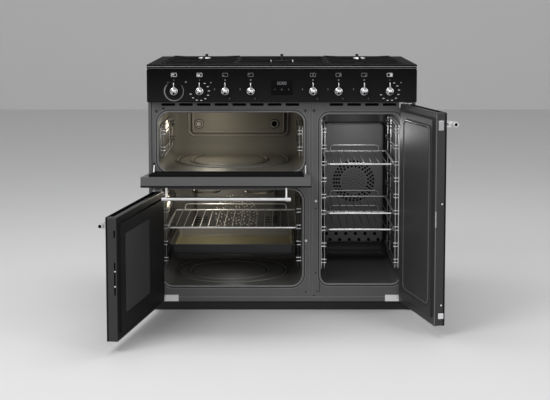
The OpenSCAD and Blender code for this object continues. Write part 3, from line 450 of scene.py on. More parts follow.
def pad(spanA, spanB, corner, base, top, edge=0.001, axis="y", steps=5):
    # a rounded rectangle carried from base towards top, in along a quarter circle, then a narrow flat ring and a
    # closed face, so that the face is shaded flat
    centre = np.array([sum(spanA), sum(spanB)]) / 2
    halfA, halfB = abs(spanA[1] - spanA[0]) / 2, abs(spanB[1] - spanB[0]) / 2
    way = 1 if top > base else -1
    rows = [(0.0, base, 0.0)]
    rows += [(edge * (1 - math.cos(angle)), top - way * edge * (1 - math.sin(angle)), 0.0002)
             for angle in np.linspace(0, np.pi / 2, steps)]
    rows.append((edge + min(0.0006, halfA * 0.1, halfB * 0.1), top, 0.0001))
    return loft(np.array([placed(roundedLoop(halfA - inset, halfB - inset, max(corner - inset, least)) + centre,
                                 depth, axis) for inset, depth, least in rows]))


def beadLoop(spanX, spanZ, corner, out, depth, radius, steps=8, sides=8):
    # a round bead along a rounded rectangle that lies out from the one given by its spans and corner
    halves = [(span[1] - span[0]) / 2 + out for span in (spanX, spanZ)]
    loop = roundedLoop(*halves, corner + out, steps) + np.array([sum(spanX) / 2, sum(spanZ) / 2])
    return tube(placed(loop, depth), radius, (0, 1, 0), sides, True)


def superellipse(halfA, halfB, power, count):
    # points (halfA cos^power, halfB sin^power), each with the sign of its cosine and sine
    t = np.linspace(0, 2 * np.pi, count, endpoint=False)
    way = np.stack([np.cos(t), np.sin(t)], -1)
    return np.sign(way) * np.abs(way) ** power * (halfA, halfB)


def about(middle, half):    # the span of a middle and half a length
    return middle - half, middle + half


def disc(centre, radius, height, axis="y", sides=18):
    # a low dome with a rounded edge; height is signed along the axis
    return turned([(radius, 0), (radius, height * 0.55), (radius * 0.86, height * 0.9), (radius * 0.4, height)],
                  centre, axis, sides)


def stroke(path, halfWidth, face, lift=0.0003, closed=False):
    # a flat ribbon along a path of (x, z) points, lifted a little off a face that looks to the front
    path = np.asarray(path, float)
    along = np.roll(path, -1, 0) - np.roll(path, 1, 0) if closed else np.gradient(path, axis=0)
    along /= np.linalg.norm(along, axis=1, keepdims=True)
    side = np.stack([-along[:, 1], along[:, 0]], -1) * np.broadcast_to(halfWidth, len(path))[:, None]
    rows = np.stack([placed(path + side, face), placed(path + side, face - lift),
                     placed(path - side, face - lift), placed(path - side, face)], 1)
    if closed:
        return rows.reshape(-1, 3), [gridFaces(len(path), 4, True)]
    return loft(rows)


def arc(centre, radius, fromDeg, toDeg, count=40):
    angle = np.radians(np.linspace(fromDeg, toDeg, count))
    return np.stack([centre[0] + radius * np.cos(angle), centre[1] + radius * np.sin(angle)], -1)


def addPiece(name, parts, finish, slotName, body="cooker", replaced=(), sharp=35, turn=None):
    # parts to a mesh object, its faces turned out, that rides on a body; turn moves its points first
    points, faces = stacked(parts if isinstance(parts, list) else [parts])
    if turn is not None:
        points = turn(points)
    mesh = bpy.data.meshes.new(name)
    mesh.from_pydata(points.tolist(), [], faces)
    work = bmesh.new()
    work.from_mesh(mesh)
    bmesh.ops.recalc_face_normals(work, faces=work.faces)
    work.to_mesh(mesh)
    work.free()
    mesh.polygons.foreach_set("use_smooth", np.ones(len(mesh.polygons), bool))
    mesh.set_sharp_from_angle(angle=math.radians(sharp))
    mesh.materials.append(finishes[finish])
    thing = linked(name, mesh)
    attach(thing, body)
    if replaced:
        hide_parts(*replaced)


def evenNormals(mesh, limit=50):
    # each corner's normal is the area-weighted mean over the faces round its vertex that turn less than
    # limit from its own face, so flat faces stay flat beside their rounded edges
    vertexOf = np.empty(len(mesh.loops), int)
    counts, areas = np.empty(len(mesh.polygons), int), np.empty(len(mesh.polygons))
    normals = np.empty(len(mesh.polygons) * 3)
    mesh.loops.foreach_get("vertex_index", vertexOf)
    for key, values in (("loop_total", counts), ("area", areas), ("normal", normals)):
        mesh.polygons.foreach_get(key, values)
    normals = normals.reshape(-1, 3)
    faceOf = np.repeat(np.arange(len(counts)), counts)
    order = np.argsort(vertexOf, kind="stable")
    ordered = vertexOf[order]
    first = np.r_[0, np.flatnonzero(np.diff(ordered)) + 1]
    rank = np.arange(len(ordered)) - np.repeat(first, np.diff(np.r_[first, len(ordered)]))
    table = np.full((len(mesh.vertices), rank.max() + 1), -1)
    table[ordered, rank] = faceOf[order]
    around = table[vertexOf]
    turn = np.einsum("ijk,ik->ij", normals[around], normals[faceOf])
    weight = areas[around] * (around >= 0) * (turn > math.cos(math.radians(limit)))
    mean = (normals[around] * weight[..., None]).sum(1)
    mean /= np.maximum(np.linalg.norm(mean, axis=1, keepdims=True), 1e-12)
    mesh.polygons.foreach_set("use_smooth", np.ones(len(mesh.polygons), bool))
    mesh.normals_split_custom_set(mean.tolist())


def bodyOf(node):
    return next(b for b, members in frame["record"]["behaviour"]["bodies"].items() if node in members)


def softened(node, width):
    # a copy of a CAD node with its flat faces rejoined and its edges rounded, shown in the node's place
    work = bmesh.new()
    work.from_mesh(nodes[node].data)
    bmesh.ops.remove_doubles(work, verts=work.verts, dist=0.00001)
    bmesh.ops.dissolve_limit(work, angle_limit=math.radians(0.5), verts=work.verts, edges=work.edges)
    hard = [e for e in work.edges if len(e.link_faces) == 2 and e.calc_face_angle(0) > math.radians(40)
            and e.calc_length() > width * 2.5]
    bmesh.ops.bevel(work, geom=hard, offset=width, segments=2, affect="EDGES", clamp_overlap=True)
    mesh = bpy.data.meshes.new(node + "Soft")
    work.to_mesh(mesh)
    work.free()
    evenNormals(mesh)
    mesh.materials.append(finishes[finishOf(node)])
    thing = linked(node + "Soft", mesh)
    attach(thing, bodyOf(node))
    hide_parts(node)


def doorTurn(jointName, closing=False):
    # rotates points about the joint's axis, from closed to rest, or back
    joint = next(j for j in frame["joints"] if j["name"] == jointName)
    angle = math.radians(-joint["range_deg"][0]) * (-1 if closing else 1)
    axis, pin = np.array(joint["axis"], float), np.array(joint["pos_m"], float)
    c, s = math.cos(angle), math.sin(angle)
    cross = np.array([[0, -axis[2], axis[1]], [axis[2], 0, -axis[0]], [-axis[1], axis[0], 0]])
    matrix = np.eye(3) * c + s * cross + (1 - c) * np.outer(axis, axis)
    return lambda points: (np.asarray(points) - pin) @ matrix.T + pin


def closedBox(node, jointName):
    # the box of a door's node as it lies when the door is shut
    points = np.zeros(len(nodes[node].data.vertices) * 3)
    nodes[node].data.vertices.foreach_get("co", points)
    points = doorTurn(jointName, True)(points.reshape(-1, 3))
    return points.min(0), points.max(0)


print("scene: finishes and helpers ready")
slotOf = {s["node"]: s["material_slot"] for s in frame["record"]["subparts"]}
# painted light: the hob's steel trim takes the hob's black as painted shade, and the grill door's handle and shell
# take paler finishes
ownFinish = {"hob_tray": "hob_black", "hob_trim": "hob_black", "grill_door_handle": "handleBright",
             "main_door_handle": "handle", "tall_door_handle": "handle", "hinge_brackets": "hinge",
             "grill_door_shell": "drop_enamel", "grill_door_glass": "drop_glass", "plinth": "plinth"}


def finishOf(node):
    return ownFinish.get(node, slotOf[node])


for nodeName, thing in nodes.items():
    thing.data.materials.clear()
    thing.data.materials.append(finishes[finishOf(nodeName)])
print("scene: finishes on the CAD nodes")

# nodes whose edges are rounded a little, by width
edgeRounds = {0.0016: ("control_panel", "grate_left", "grate_middle", "grate_right"), 0.001: ("plinth",),
              0.0012: ("hob_tray", "grill_door_shell", "main_door_shell", "tall_door_shell"),
              0.0008: ("grill_door_handle", "main_door_handle", "tall_door_handle"),
              0.0006: ("front_frame", "hinge_brackets"), 0.0004: ("hob_trim", "rear_panel")}
for width, names in edgeRounds.items():
    for nodeName in names:
        softened(nodeName, width)
print("scene: softened edges")

# oven linings, with pressed rings on two of the floors
linings = {    # finish, corner radius of the mouth, radius of the bend at the back
    "grill_cavity": ("grill_enamel", 0.036, 0.040), "main_cavity": ("main_enamel", 0.040, 0.042),
    "tall_cavity": ("tall_enamel", 0.027, 0.040)}
flange, wall = 0.003, 0.0015    # the rim round the mouth and the sheet
floorRings = {    # x of the outer and the inner ring, y of both, half sizes of each
    "grill_cavity": ((-0.178, -0.190), 0.066, ((0.200, 0.232), (0.136, 0.180))),
    "main_cavity": ((-0.180, -0.187), -0.006, ((0.198, 0.200), (0.142, 0.152)))}
# each pressed floor ring gets a dark line beside it as painted shade and a pale line on its other side as painted
# highlight
ringLines = (("Beads", None, 0.0, -0.0035, 0.008), ("DarkLines", "bead_dark", -0.009, -0.0004, 0.0021),
             ("PaleLines", "bead_light", 0.0055, 0.0016, 0.0012))    # finish, outwards, up, radius
ringShape = {"square": 2.15, "points": 72, "clear": 0.014}    # clear is the room left in front of the back's outside


def ovenLining(node, corner, back):
    # a rounded-rectangle loop carried from the mouth to the back, where it shrinks along a quarter circle and
    # then flat to the middle; the same loops a wall thickness outside make the outer face
    low, high = boxOf(node)
    centre = (low + high)[[0, 2]] / 2
    halfW, halfH = (high - low)[[0, 2]] / 2 - flange
    least = min(halfW, halfH)
    y0, y1 = low[1], high[1] - wall
    t = np.linspace(0, np.pi / 2, 9)
    inset = np.concatenate([[0.0], back * (1 - np.cos(t)), np.linspace(back, least * 0.97, 6)[1:]])
    depth = np.concatenate([[y0], y1 - back + back * np.sin(t), np.full(5, y1)])

    def shell(move):    # the loops of one face, moved out from the inside
        rows = []
        for d, y in zip(inset, depth):
            w, h = halfW - d + move, halfH - d + move
            radius = max(0.002, corner * (1 - d / (least * 1.02)) + move)
            rows.append(placed(roundedLoop(w, h, min(radius, w, h), 10) + centre, y + (move if y > y0 else 0)))
        return rows

    rim = placed(roundedLoop(halfW + flange, halfH + flange, corner + flange, 10) + centre, y0)
    return loft(np.array(shell(0.0)[::-1] + [rim, rim + (0, wall, 0)] + shell(wall)))


def floorRing(node, x, y, halfSizes, lift, radius):
    # a pressed ring on the oven floor: a superellipse that is cut straight under the back wall
    low, high = boxOf(node)
    flat = superellipse(*halfSizes, 2 / ringShape["square"], ringShape["points"]) + (x, y)
    flat[:, 1] = np.minimum(flat[:, 1], high[1] - ringShape["clear"])
    return tube(placed(flat, low[2] + flange + lift, "z"), radius, (0, 0, 1), 14, True)


for nodeName, (places, y, sizes) in floorRings.items():
    for name, finish, out, lift, radius in ringLines:
        addPiece(nodeName + name, [floorRing(nodeName, x, y, np.array(size) + out, lift, radius)
                                   for x, size in zip(places, sizes)], finish or linings[nodeName][0], "oven_enamel")
for nodeName, (finish, corner, back) in linings.items():
    addPiece(nodeName + "Lining", ovenLining(nodeName, corner, back), finish, "oven_enamel", replaced=(nodeName,))
print("scene: oven linings")

# face frame: rolled rims and pressed lines round the mouths, side flanges, ribs, screws, holes and vents; rims, outer
# beads, flange edges and ribs take the paler rim finish as painted highlights, and the pressed lines and flange gaps
# are dark lines of painted shade
frameFace = boxOf("front_frame")[0][1]
mouthLines = (("Rim", "rim", 0.0030, 0.0030, 0.0), ("PressedLine", "bead_dark", 0.0085, 0.0012, 0.0004),
              ("OuterBead", "rim", 0.0112, 0.0013, 0.0006))    # finish, distance out, radius, set back
sideFlange = {"x": (0.4392, 0.4486), "z": (0.0335, 0.7130), "sunk": 0.0012, "proud": 0.0010, "round": 0.0006}
upright = sideFlange["z"]
ribs = {    # finish, radius, set back, sides, x and z of each rib
    "FlangeGap": ("bead_dark", 0.0012, 0, 8, [((0.4384, 0.4384), upright)]),
    "FlangeEdge": ("rim", 0.0009, -0.0006, 8, [((0.4486, 0.4486), upright)]),
    "stileRibs": ("rim", 0.0012, 0.0002, 10, [((x, x), (0.052, 0.704)) for x in (0.0942, 0.1030)]),
    "frameFootRib": ("rim", 0.0014, 0, 10, [((-0.432, 0.432), (0.0455, 0.0455))])}
frameMarks = {
    "screws": ((-0.4222, 0.6811), (-0.3985, 0.6902), (0.0793, 0.6832), (0.1085, 0.6832), (0.0665, 0.4490)),
    "screwShape": [(0.0048, 0), (0.0048, -0.0008), (0.0041, -0.0014), (0.0026, -0.0008)],
    "holes": ((0.1158, 0.1293), (0.0821, 0.0631), (0.1090, 0.0500)), "holeSize": (0.0024, -0.0003),
    "press": (0.1230, 0.0690), "pressRadius": 0.006, "pressTop": 0.1070}
vents = {"rows": ((-0.3817, 8), (0.1836, 4)), "pitch": 0.0596, "half": 0.0233, "z": (0.6986, 0.7094),
         "depth": (0.0018, 0.0007)}

for nodeName, (_, corner, _) in linings.items():
    low, high = boxOf(nodeName)
    for name, finish, out, radius, back in mouthLines:
        addPiece(nodeName + name, beadLoop((low[0], high[0]), (low[2], high[2]), corner + flange, out - flange,
                                           frameFace + back, radius, 12, 10), finish, "frame_enamel")


def straightRibs(name, side=1):
    finish, radius, back, sides, lines = ribs[name]
    return [tube(placed(np.stack([side * np.array(x), z], -1), frameFace + back), radius, (0, 1, 0), sides)
            for x, z in lines], finish, "frame_enamel"


for side, name in ((-1, "left"), (1, "right")):
    addPiece(name + "Flange", pad(sorted(side * x for x in sideFlange["x"]), upright, sideFlange["round"],
                                  frameFace + sideFlange["sunk"], frameFace - sideFlange["proud"],
                                  sideFlange["round"]), "frame_enamel", "frame_enamel")
    for key in ("FlangeGap", "FlangeEdge"):
        addPiece(name + key, *straightRibs(key, side))
for name in ("stileRibs", "frameFootRib"):
    addPiece(name, *straightRibs(name))


def framePieces():
    # the vents' slots and the small plain holes as dark pads and discs of painted shade, turned screw heads and a
    # curved pressed end
    backs = [pad(about(first + k * vents["pitch"], vents["half"]), vents["z"], 0.005,
                 *(frameFace + d for d in vents["depth"]), 0.0002) for first, count in vents["rows"]
             for k in range(count)]
    addPiece("ventBacks", backs, "shadow", "frame_enamel")
    addPiece("frameScrews", [turned(frameMarks["screwShape"], (x, frameFace, z), "y", 18)
                             for x, z in frameMarks["screws"]], "door_enamel", "frame_enamel")
    addPiece("frameHoles", [disc((x, frameFace, z), *frameMarks["holeSize"]) for x, z in frameMarks["holes"]],
             "shadow", "frame_enamel")
    (x, z), radius = frameMarks["press"], frameMarks["pressRadius"]
    path = np.concatenate([[(x - radius, z)], arc((x, z), radius, 180, 360, 12),
                           [(x + radius, frameMarks["pressTop"])]])
    addPiece("framePress", tube(bent(placed(path, frameFace), 0.001), 0.0011, sides=8), "door_enamel",
             "frame_enamel")


framePieces()
print("scene: frame details")

# sprung catches: a bright ball in a dark collar
catchBall = {"radius": 0.0054, "tip": 0.0002}
for nodeName in ("main_door_catch", "tall_door_catch"):
    low, high = boxOf(nodeName)
    middle = (low + high) / 2
    profile = arc((0, 0), catchBall["radius"], 0, -90, 8)
    profile[-1, 0] = catchBall["tip"]
    addPiece(nodeName + "Ball", turned(profile, (middle[0], low[1] + catchBall["radius"], middle[2]), "y", 28),
             "wire", "chrome", bodyOf(nodeName))

# wire shelves: front bars painted paler as a painted highlight, cross wires and the tall shelves' frames painted
# darker as painted shade
shelfWire = {"frame": 0.003, "front": 0.0032, "cross": 0.0012, "guard": 0.0022, "corner": 0.012,
             "guardCorner": 0.016, "rise": 0.0018}
shelves = {    # cross wires, half width of the guard, finishes of the frame and the wires
    "main_shelf": (15, 0.186, "wire", "wire_mid"),
    **{"tall_shelf_" + level: (8, 0.089, "wire_mid", "wire_dim") for level in ("top", "middle", "bottom")}}


def wireShelf(node, wires, guardHalf):
    # a rounded frame loop with a raised guard at the back, the thin cross wires laid on it and its front bar
    low, high = boxOf(node)
    r, reach, guard = (shelfWire[key] for key in ("frame", "corner", "guard"))
    x0, y0, z = low + r
    x1, y1 = high[:2] - r
    middle, top, rise = (x0 + x1) / 2, high[2] - guard, z + shelfWire["rise"]
    loop = bent([(x0, y0, z), (x1, y0, z), (x1, y1, z), (x0, y1, z)], reach, True)
    hoop = bent([(middle - guardHalf, y1, z), (middle - guardHalf, y1, top), (middle + guardHalf, y1, top),
                 (middle + guardHalf, y1, z)], shelfWire["guardCorner"])
    crossX = x0 + (np.arange(wires) + 1) * (x1 - x0) / (wires + 1)
    return {"Frame": [tube(loop, r, (0, 0, 1), 12, True), tube(hoop, guard, sides=10)],
            "Wires": [tube([(x, y0, rise), (x, y1, rise)], shelfWire["cross"], (0, 0, 1), 8) for x in crossX],
            "Front": tube([(x0 + reach, y0, z), (x1 - reach, y0, z)], shelfWire["front"], (0, 0, 1), 12)}


for nodeName, (wires, guardHalf, *wireFinishes) in shelves.items():
    for (name, parts), finish in zip(wireShelf(nodeName, wires, guardHalf).items(), (*wireFinishes, "wire_front")):
        addPiece(nodeName + name, parts, finish, "chrome", bodyOf(nodeName), (nodeName,) if name == "Frame" else ())

# side racks: rungs painted paler as a painted highlight; runners, and the uprights of the grill and main ovens,
# painted darker as painted shade; the tall oven's uprights painted paler as a painted highlight
racks = {    # shelf levels, finish of the uprights
    "grill_side_racks": (2, "wire_mid"), "main_side_racks": (4, "wire_dim"), "tall_side_racks": (9, "wire_front")}
rackWire = {"radius": 0.002, "secondRadius": 0.0013, "first": 0.024, "pitch": 0.0562, "gap": 0.0115, "post": 0.020,
            "out": 0.0167, "second": 0.0110, "corner": 0.008, "bend": 0.0055}


def sideRacks(node, levels):
    # on each wall: a ladder of two uprights and short rungs at the front and at the back, and for each shelf a
    # runner bent back on itself at the rear and open in front
    low, high = boxOf(node)
    r, gap, post = (rackWire[key] for key in ("radius", "gap", "post"))
    posts, rungs, runners = [], [], []
    (_, y0, z0), (_, y1, z1) = low + r, high - r
    near, far = y0 + post - r, y1 - post + r
    for side in (-1, 1):
        wallX = low[0] + r if side < 0 else high[0] - r
        runX, secondX = wallX - side * rackWire["out"], wallX - side * rackWire["second"]
        for x, size in ((wallX, r), (secondX, rackWire["secondRadius"])):
            loop = bent([(x, near, z0), (x, far, z0), (x, far, z1), (x, near, z1)], rackWire["corner"], True)
            posts.append(tube(loop, size, (1, 0, 0), 8, True))
        for z in low[2] + rackWire["first"] + np.arange(levels) * rackWire["pitch"]:
            hook = bent([(runX, near, z), (runX, y1, z), (runX, y1, z + gap), (runX, near, z + gap)],
                        rackWire["bend"])
            runners.append(tube(hook, r, (1, 0, 0), 8))
            for rise in (z, z + gap):
                for kind, y in ((rungs, near), (runners, far)):
                    kind.append(tube([(wallX, y, rise), (runX, y, rise)], r * 0.9, (0, 0, 1), 8))
    return posts, rungs, runners


for nodeName, (levels, postFinish) in racks.items():
    posts, rungs, runners = sideRacks(nodeName, levels)
    addPiece(nodeName + "Posts", posts, postFinish, "chrome", replaced=(nodeName,))
    addPiece(nodeName + "Rungs", rungs, "wire_front", "chrome")
    addPiece(nodeName + "Runners", runners, "wire_dim", "chrome")
print("scene: racks and shelves")

# deep tray
tray = {"rim": 0.013, "rimFront": 0.008, "sheet": 0.0012, "corner": 0.014, "foot": 0.012, "wave": 0.0009,
        "waves": 5.5, "slope": 0.002, "floor": (0.03, 0.09, 0.15)}


def deepTray():
    # loops from the rim's edge over the lip, down the sloping wall, round the foot and across the floor; the lip
    # waves by a cosine along X, and the same loops a sheet's thickness outside make the underside
    low, high = boxOf("deep_tray")
    centre = (low + high)[:2] / 2
    halfX, halfY = (high - low)[:2] / 2
    depth = high[2] - low[2] - tray["sheet"]
    rim, foot = tray["rim"], tray["foot"]
    t = np.linspace(0, np.pi / 2, 6)
    steps = [(0.0, -0.002), (0.0012, 0.0), (rim - 0.003, 0.0), (rim - 0.001, -0.0012), (rim, -0.004)]
    steps += [(rim + foot * (1 - c) + tray["slope"], -depth + foot * (1 - s)) for c, s in zip(np.cos(t), np.sin(t))]
    steps += [(rim + foot + d, -depth) for d in tray["floor"]]
    rows = {0.0: [], tray["sheet"]: []}
    for thick in rows:
        for inset, drop in steps:
            cut = inset - (rim - tray["rimFront"]) * min(1, inset / rim)
            out = thick if drop < -0.003 else 0
            flat = roundedLoop(halfX - inset + out, halfY - cut + out, max(0.004, tray["corner"] - inset * 0.05))
            wave = tray["wave"] * np.cos(flat[:, 0] / halfX * tray["waves"]) * (inset < rim - 0.002)
            rows[thick].append(placed(flat + centre, high[2] + drop - thick + wave - tray["wave"], "z"))
    return loft(np.array(rows[0.0][::-1] + rows[tray["sheet"]]))


addPiece("deepTray", deepTray(), "tray_enamel", "tray_enamel", "deep_tray_body", ("deep_tray",), 60)
print("scene: deep tray")

# knobs
knobShape = {"disc": [(0.0126, 0.0), (0.0134, -0.0005), (0.0134, -0.0050), (0.0131, -0.0062), (0.0122, -0.0070),
                      (0.0095, -0.0077), (0.0055, -0.0082), (0.0010, -0.0083)],
             "hub": [(0.0088, -0.0070), (0.0086, -0.0125), (0.0080, -0.0145), (0.0062, -0.0158), (0.0010, -0.0160)],
             "lever": [(0.0030, 0.0018, 0.0040), (0.006, 0.0021, 0.0046), (0.012, 0.0022, 0.0046),
                       (0.022, 0.0021, 0.0044), (0.0285, 0.0020, 0.0040), (0.0297, 0.0016, 0.0034),
                       (0.0300, 0.0010, 0.0022)], "leverY": -0.0102, "square": 0.7,
             "skirt": 0.0135, "dot": (0.0037, -0.0042), "dotAt": (0, -0.0135, -0.0056),
             "groove": (0.0099, 0.0006), "grooveY": -0.0078}


def addKnob(k):
    # a domed disc and a hub spun about the knob's axis, a tapered lever of superellipse sections up its face, and in
    # dark a dot and a fine groove round the hub, the groove darkened as painted shade; returns the middle of the knob
    # on the panel
    node, body = "knob_%d" % k, "knob_%d_body" % k
    low, high = boxOf(node)
    centre = np.array([(low[0] + high[0]) / 2, high[1], low[2] + knobShape["skirt"]])
    lever = [placed(superellipse(halfWidth, halfDepth, knobShape["square"], 20) + centre[:2]
                    + (0, knobShape["leverY"]), centre[2] + rise, "z")
             for rise, halfWidth, halfDepth in knobShape["lever"]]
    addPiece("knobShape%d" % k, [turned(knobShape["disc"], centre, "y", 44), turned(knobShape["hub"], centre, "y", 36),
                                 loft(np.array(lever))], "knob", "chrome", body, (node,))
    radius, size = knobShape["groove"]
    groove = placed(arc(centre[[0, 2]], radius, 0, 350, 36), centre[1] + knobShape["grooveY"])
    addPiece("knobDot%d" % k, [disc(centre + knobShape["dotAt"], *knobShape["dot"]),
                               tube(groove, size, sides=8, closed=True)], "shadow", "panel_black", body)
    return centre


knobCentres = [addKnob(k) for k in range(1, 9)]
print("scene: knobs")

# prints on the panel
panelFace = boxOf("control_panel")[0][1]
prints = {"iconRise": 0.0545, "iconHalf": (0.0088, 0.0056), "iconCorner": 0.0012, "line": 0.0007,
          "tickRise": 0.0372, "tick": (0.0022, 0.0008), "dot": (0.0026, -0.0003),
          "flames": ((-0.0352, 0.0066, 0.0026), (0.0145, -0.0245, 0.0019)), "flameLine": 0.0011,
          "arc": (0.0315, 130, 398, 60), "arcGrows": ([130, 160, 398], [0.0004, 0.0024, 0.0008]),
          "arcStart": (-0.0195, 0.0298, 0.0040, 0.0006), "arcDot": (0.0395, 0.0304, 0.0030),
          "marks": (9, 27.4, 0.0312), "markStart": {2: 57, 8: 62}, "markDot": (0.0375, 0.0285, 0.0024),
          "markShape": ((-0.0034, -0.0026, 0.0026, 0.0034), (0.0006, 0.0013, 0.0013, 0.0006))}
iconFill = {    # part of each icon that is filled, as (left, right, low, high) shares of its half sizes
    1: (-0.8, 0.1, -0.25, 0.45), 2: (-0.85, 0.25, -0.8, 0.25), 3: (-0.7, -0.3, -0.6, -0.1),
    4: (-0.7, -0.3, 0.1, 0.6), 5: (-0.12, 0.12, -0.8, 0.8), 6: (0.3, 0.75, -0.5, 0.5),
    7: (0.3, 0.75, -0.75, -0.1), 8: (0.05, 0.85, -0.8, 0.8)}


def bar(x, z, dx, dz, halfWidth, face, lift=0.0003):
    # a straight stroke that reaches dx and dz to both sides of its middle
    return stroke([(x - dx, z - dz), (x + dx, z + dz)], halfWidth, face, lift)


def panelPrints():
    # icons over every knob, ticks and marks round the oven knobs, dots and two flame marks at the gas knobs
    bright, dim = [], []
    halfX, halfZ = prints["iconHalf"]
    for k, (x, _, z) in enumerate(knobCentres, 1):
        oven = k in (1, 2, 8)
        icon = np.array([x, z + prints["iconRise"]])
        left, right, low, high = iconFill[k]
        outline = roundedLoop(halfX, halfZ, prints["iconCorner"], 3) + icon
        (bright if oven else dim).extend([
            stroke(outline, prints["line"], panelFace, closed=True),
            bar(x + (left + right) / 2 * halfX, icon[1] + (low + high) / 2 * halfZ, (right - left) / 2 * halfX, 0,
                (high - low) / 2 * halfZ, panelFace)])
        tickZ = z + prints["tickRise"]
        if not oven:
            dim.append(disc((x, panelFace, tickZ), *prints["dot"]))
            dim += [bar(x + dx, z + dz, 0, size, prints["flameLine"], panelFace) for dx, dz, size in prints["flames"]]
            continue
        dim.append(bar(x, tickZ, 0, *prints["tick"], panelFace))
        if k == 1:
            radius, first, last, count = prints["arc"]
            widths = np.interp(np.linspace(first, last, count), *prints["arcGrows"])
            dim.append(stroke(arc((x, z), radius, first, last, count), widths, panelFace))
            dx, dz, reach, line = prints["arcStart"]
            dim.append(bar(x + dx, z + dz, reach, 0, line, panelFace))
        else:
            count, turn, radius = prints["marks"]
            across, widths = prints["markShape"]
            for step in range(count):
                spot = arc((x, z), radius, prints["markStart"][k] - turn * step, 0, 1)[0]
                bright.append(stroke([spot + (dx, 0) for dx in across], widths, panelFace))
        dx, dz, size = prints["arcDot" if k == 1 else "markDot"]
        dim.append(disc((x + dx, panelFace, z + dz), size, prints["dot"][1]))
    addPiece("panelPrintBright", bright, "print", "panel_black")
    addPiece("panelPrintDim", dim, "print_dim", "panel_black")


panelPrints()

# clock window
clock = {"window": ((-0.0352, 0.0352), (0.7398, 0.7882)), "corner": 0.0025, "proud": 0.0004, "digitZ": 0.7788,
         "digitX": (-0.0120, -0.0045, 0.0045, 0.0120), "digitHalf": (0.0024, 0.0042), "line": 0.0004,
         "colon": (0.0018, 0.0006), "touchZ": 0.7578, "touchX": (-0.0235, -0.0005, 0.0225), "touch": (0.002, 0.0005)}


def clockPieces():
    # a rounded glass pad with four dim figures of four bars each, a colon and three touch marks
    face, proud = boxOf("clock_display")[0][1], clock["proud"]
    addPiece("clockGlass", pad(*clock["window"], clock["corner"], face + proud, face - proud, 0.0003), "display",
             "display")
    glass, line, digitZ, touchZ = face - proud, clock["line"], clock["digitZ"], clock["touchZ"]
    halfX, halfZ = clock["digitHalf"]
    lit = []
    for x in clock["digitX"]:
        lit += [bar(x, digitZ + dz, halfX * 0.8, 0, line, glass, 0.0001) for dz in (-halfZ, halfZ)]
        lit += [bar(x + dx, digitZ, 0, halfZ * 0.9, line, glass, 0.0001) for dx in (-halfX, halfX)]
    apart, size = clock["colon"]
    lit += [disc((0, glass, digitZ + dz), size, -0.0001, sides=8) for dz in (-apart, apart)]
    (minusX, ringX, plusX), (reach, width) = clock["touchX"], clock["touch"]
    marks = [bar(x, touchZ, reach, 0, width, glass, 0.0001) for x in (minusX, plusX)]
    marks.append(bar(plusX, touchZ, 0, reach, width, glass, 0.00012))
    marks.append(stroke(arc((ringX, touchZ), 0.0021, 0, 345, 24), line, glass, 0.0001, True))
    addPiece("clockFigures", lit, "digits", "display")
    addPiece("clockTouchMarks", marks, "print_dim", "display")


clockPieces()
print("scene: panel prints and clock")

# steel trim under the hob, with painted light: the profile in the hob's black as painted shade in the groove, a bright
# bead in paler steel as a painted highlight, and a grey face
trim = {"profile": [(0.0, 0.0), (0.0, 0.0042), (0.0016, 0.0046), (0.0016, 0.0058), (0.0002, 0.0062),
                    (-0.0010, 0.0074), (-0.0012, 0.0086), (-0.0004, 0.0098), (0.0016, 0.0101)], "depth": 0.004,
        "ends": ((0.0, 0.0028), (0.0006, 0.0012), (0.003, 0.0)), "start": (0.0004, 0.0006), "in": 0.001,
        "bead": (0.0015, 0.8341), "face": (0.8254, 0.8296)}


def trimBand():
    # the profile, as steps back and up, is carried along X and rounded off towards both ends
    low, high = boxOf("hob_trim")
    profile = np.array(trim["profile"] + [(trim["depth"], trim["profile"][-1][1]), (trim["depth"], 0.0)])
    ends = [(low[0] + reach, back) for reach, back in trim["ends"]]
    ends += [(high[0] - reach, back) for reach, back in trim["ends"][::-1]]
    startY, startZ = trim["start"]
    rows = [placed(profile + (low[1] + startY + back, low[2] + startZ), x, "x") for x, back in ends]
    # painted shade: the steel profile drawn in the hob's black
    addPiece("trimBand", loft(np.array(rows)), "hob_black", "steel", sharp=30)
    span = (low[0] + trim["in"], high[0] - trim["in"])
    addPiece("trimFace", pad(span, trim["face"], 0.0012, low[1] + 0.001, low[1] + 0.0001, 0.0004), "trim", "steel")
    radius, beadZ = trim["bead"]
    addPiece("trimBead", tube([(x, low[1] + 0.0003, beadZ) for x in span], radius, (0, 0, 1), 14), "trimBead", "steel")


trimBand()

# burners: bright tops on the rear caps and the two igniters of the middle burner
burnerTop = {"at": ((-0.281, 0.130), (0.281, 0.130)), "z": 0.8385,
             "profile": [(0.0232, 0.0), (0.0232, 0.0040), (0.0226, 0.0052), (0.0214, 0.0058), (0.0120, 0.0060),
                         (0.0020, 0.0060)],
             "pins": ((-0.0385, -0.052), (0.0385, -0.052)), "pinZ": (0.836, 0.8445), "pin": 0.0024}
addPiece("burnerTops", [turned(burnerTop["profile"], (*spot, burnerTop["z"]), "z", 40) for spot in burnerTop["at"]],
         "burner_top", "burner_metal")
addPiece("burnerIgniters", [tube([(*spot, z) for z in burnerTop["pinZ"]], burnerTop["pin"], (1, 0, 0), 10)
                            for spot in burnerTop["pins"]], "wire", "burner_metal")

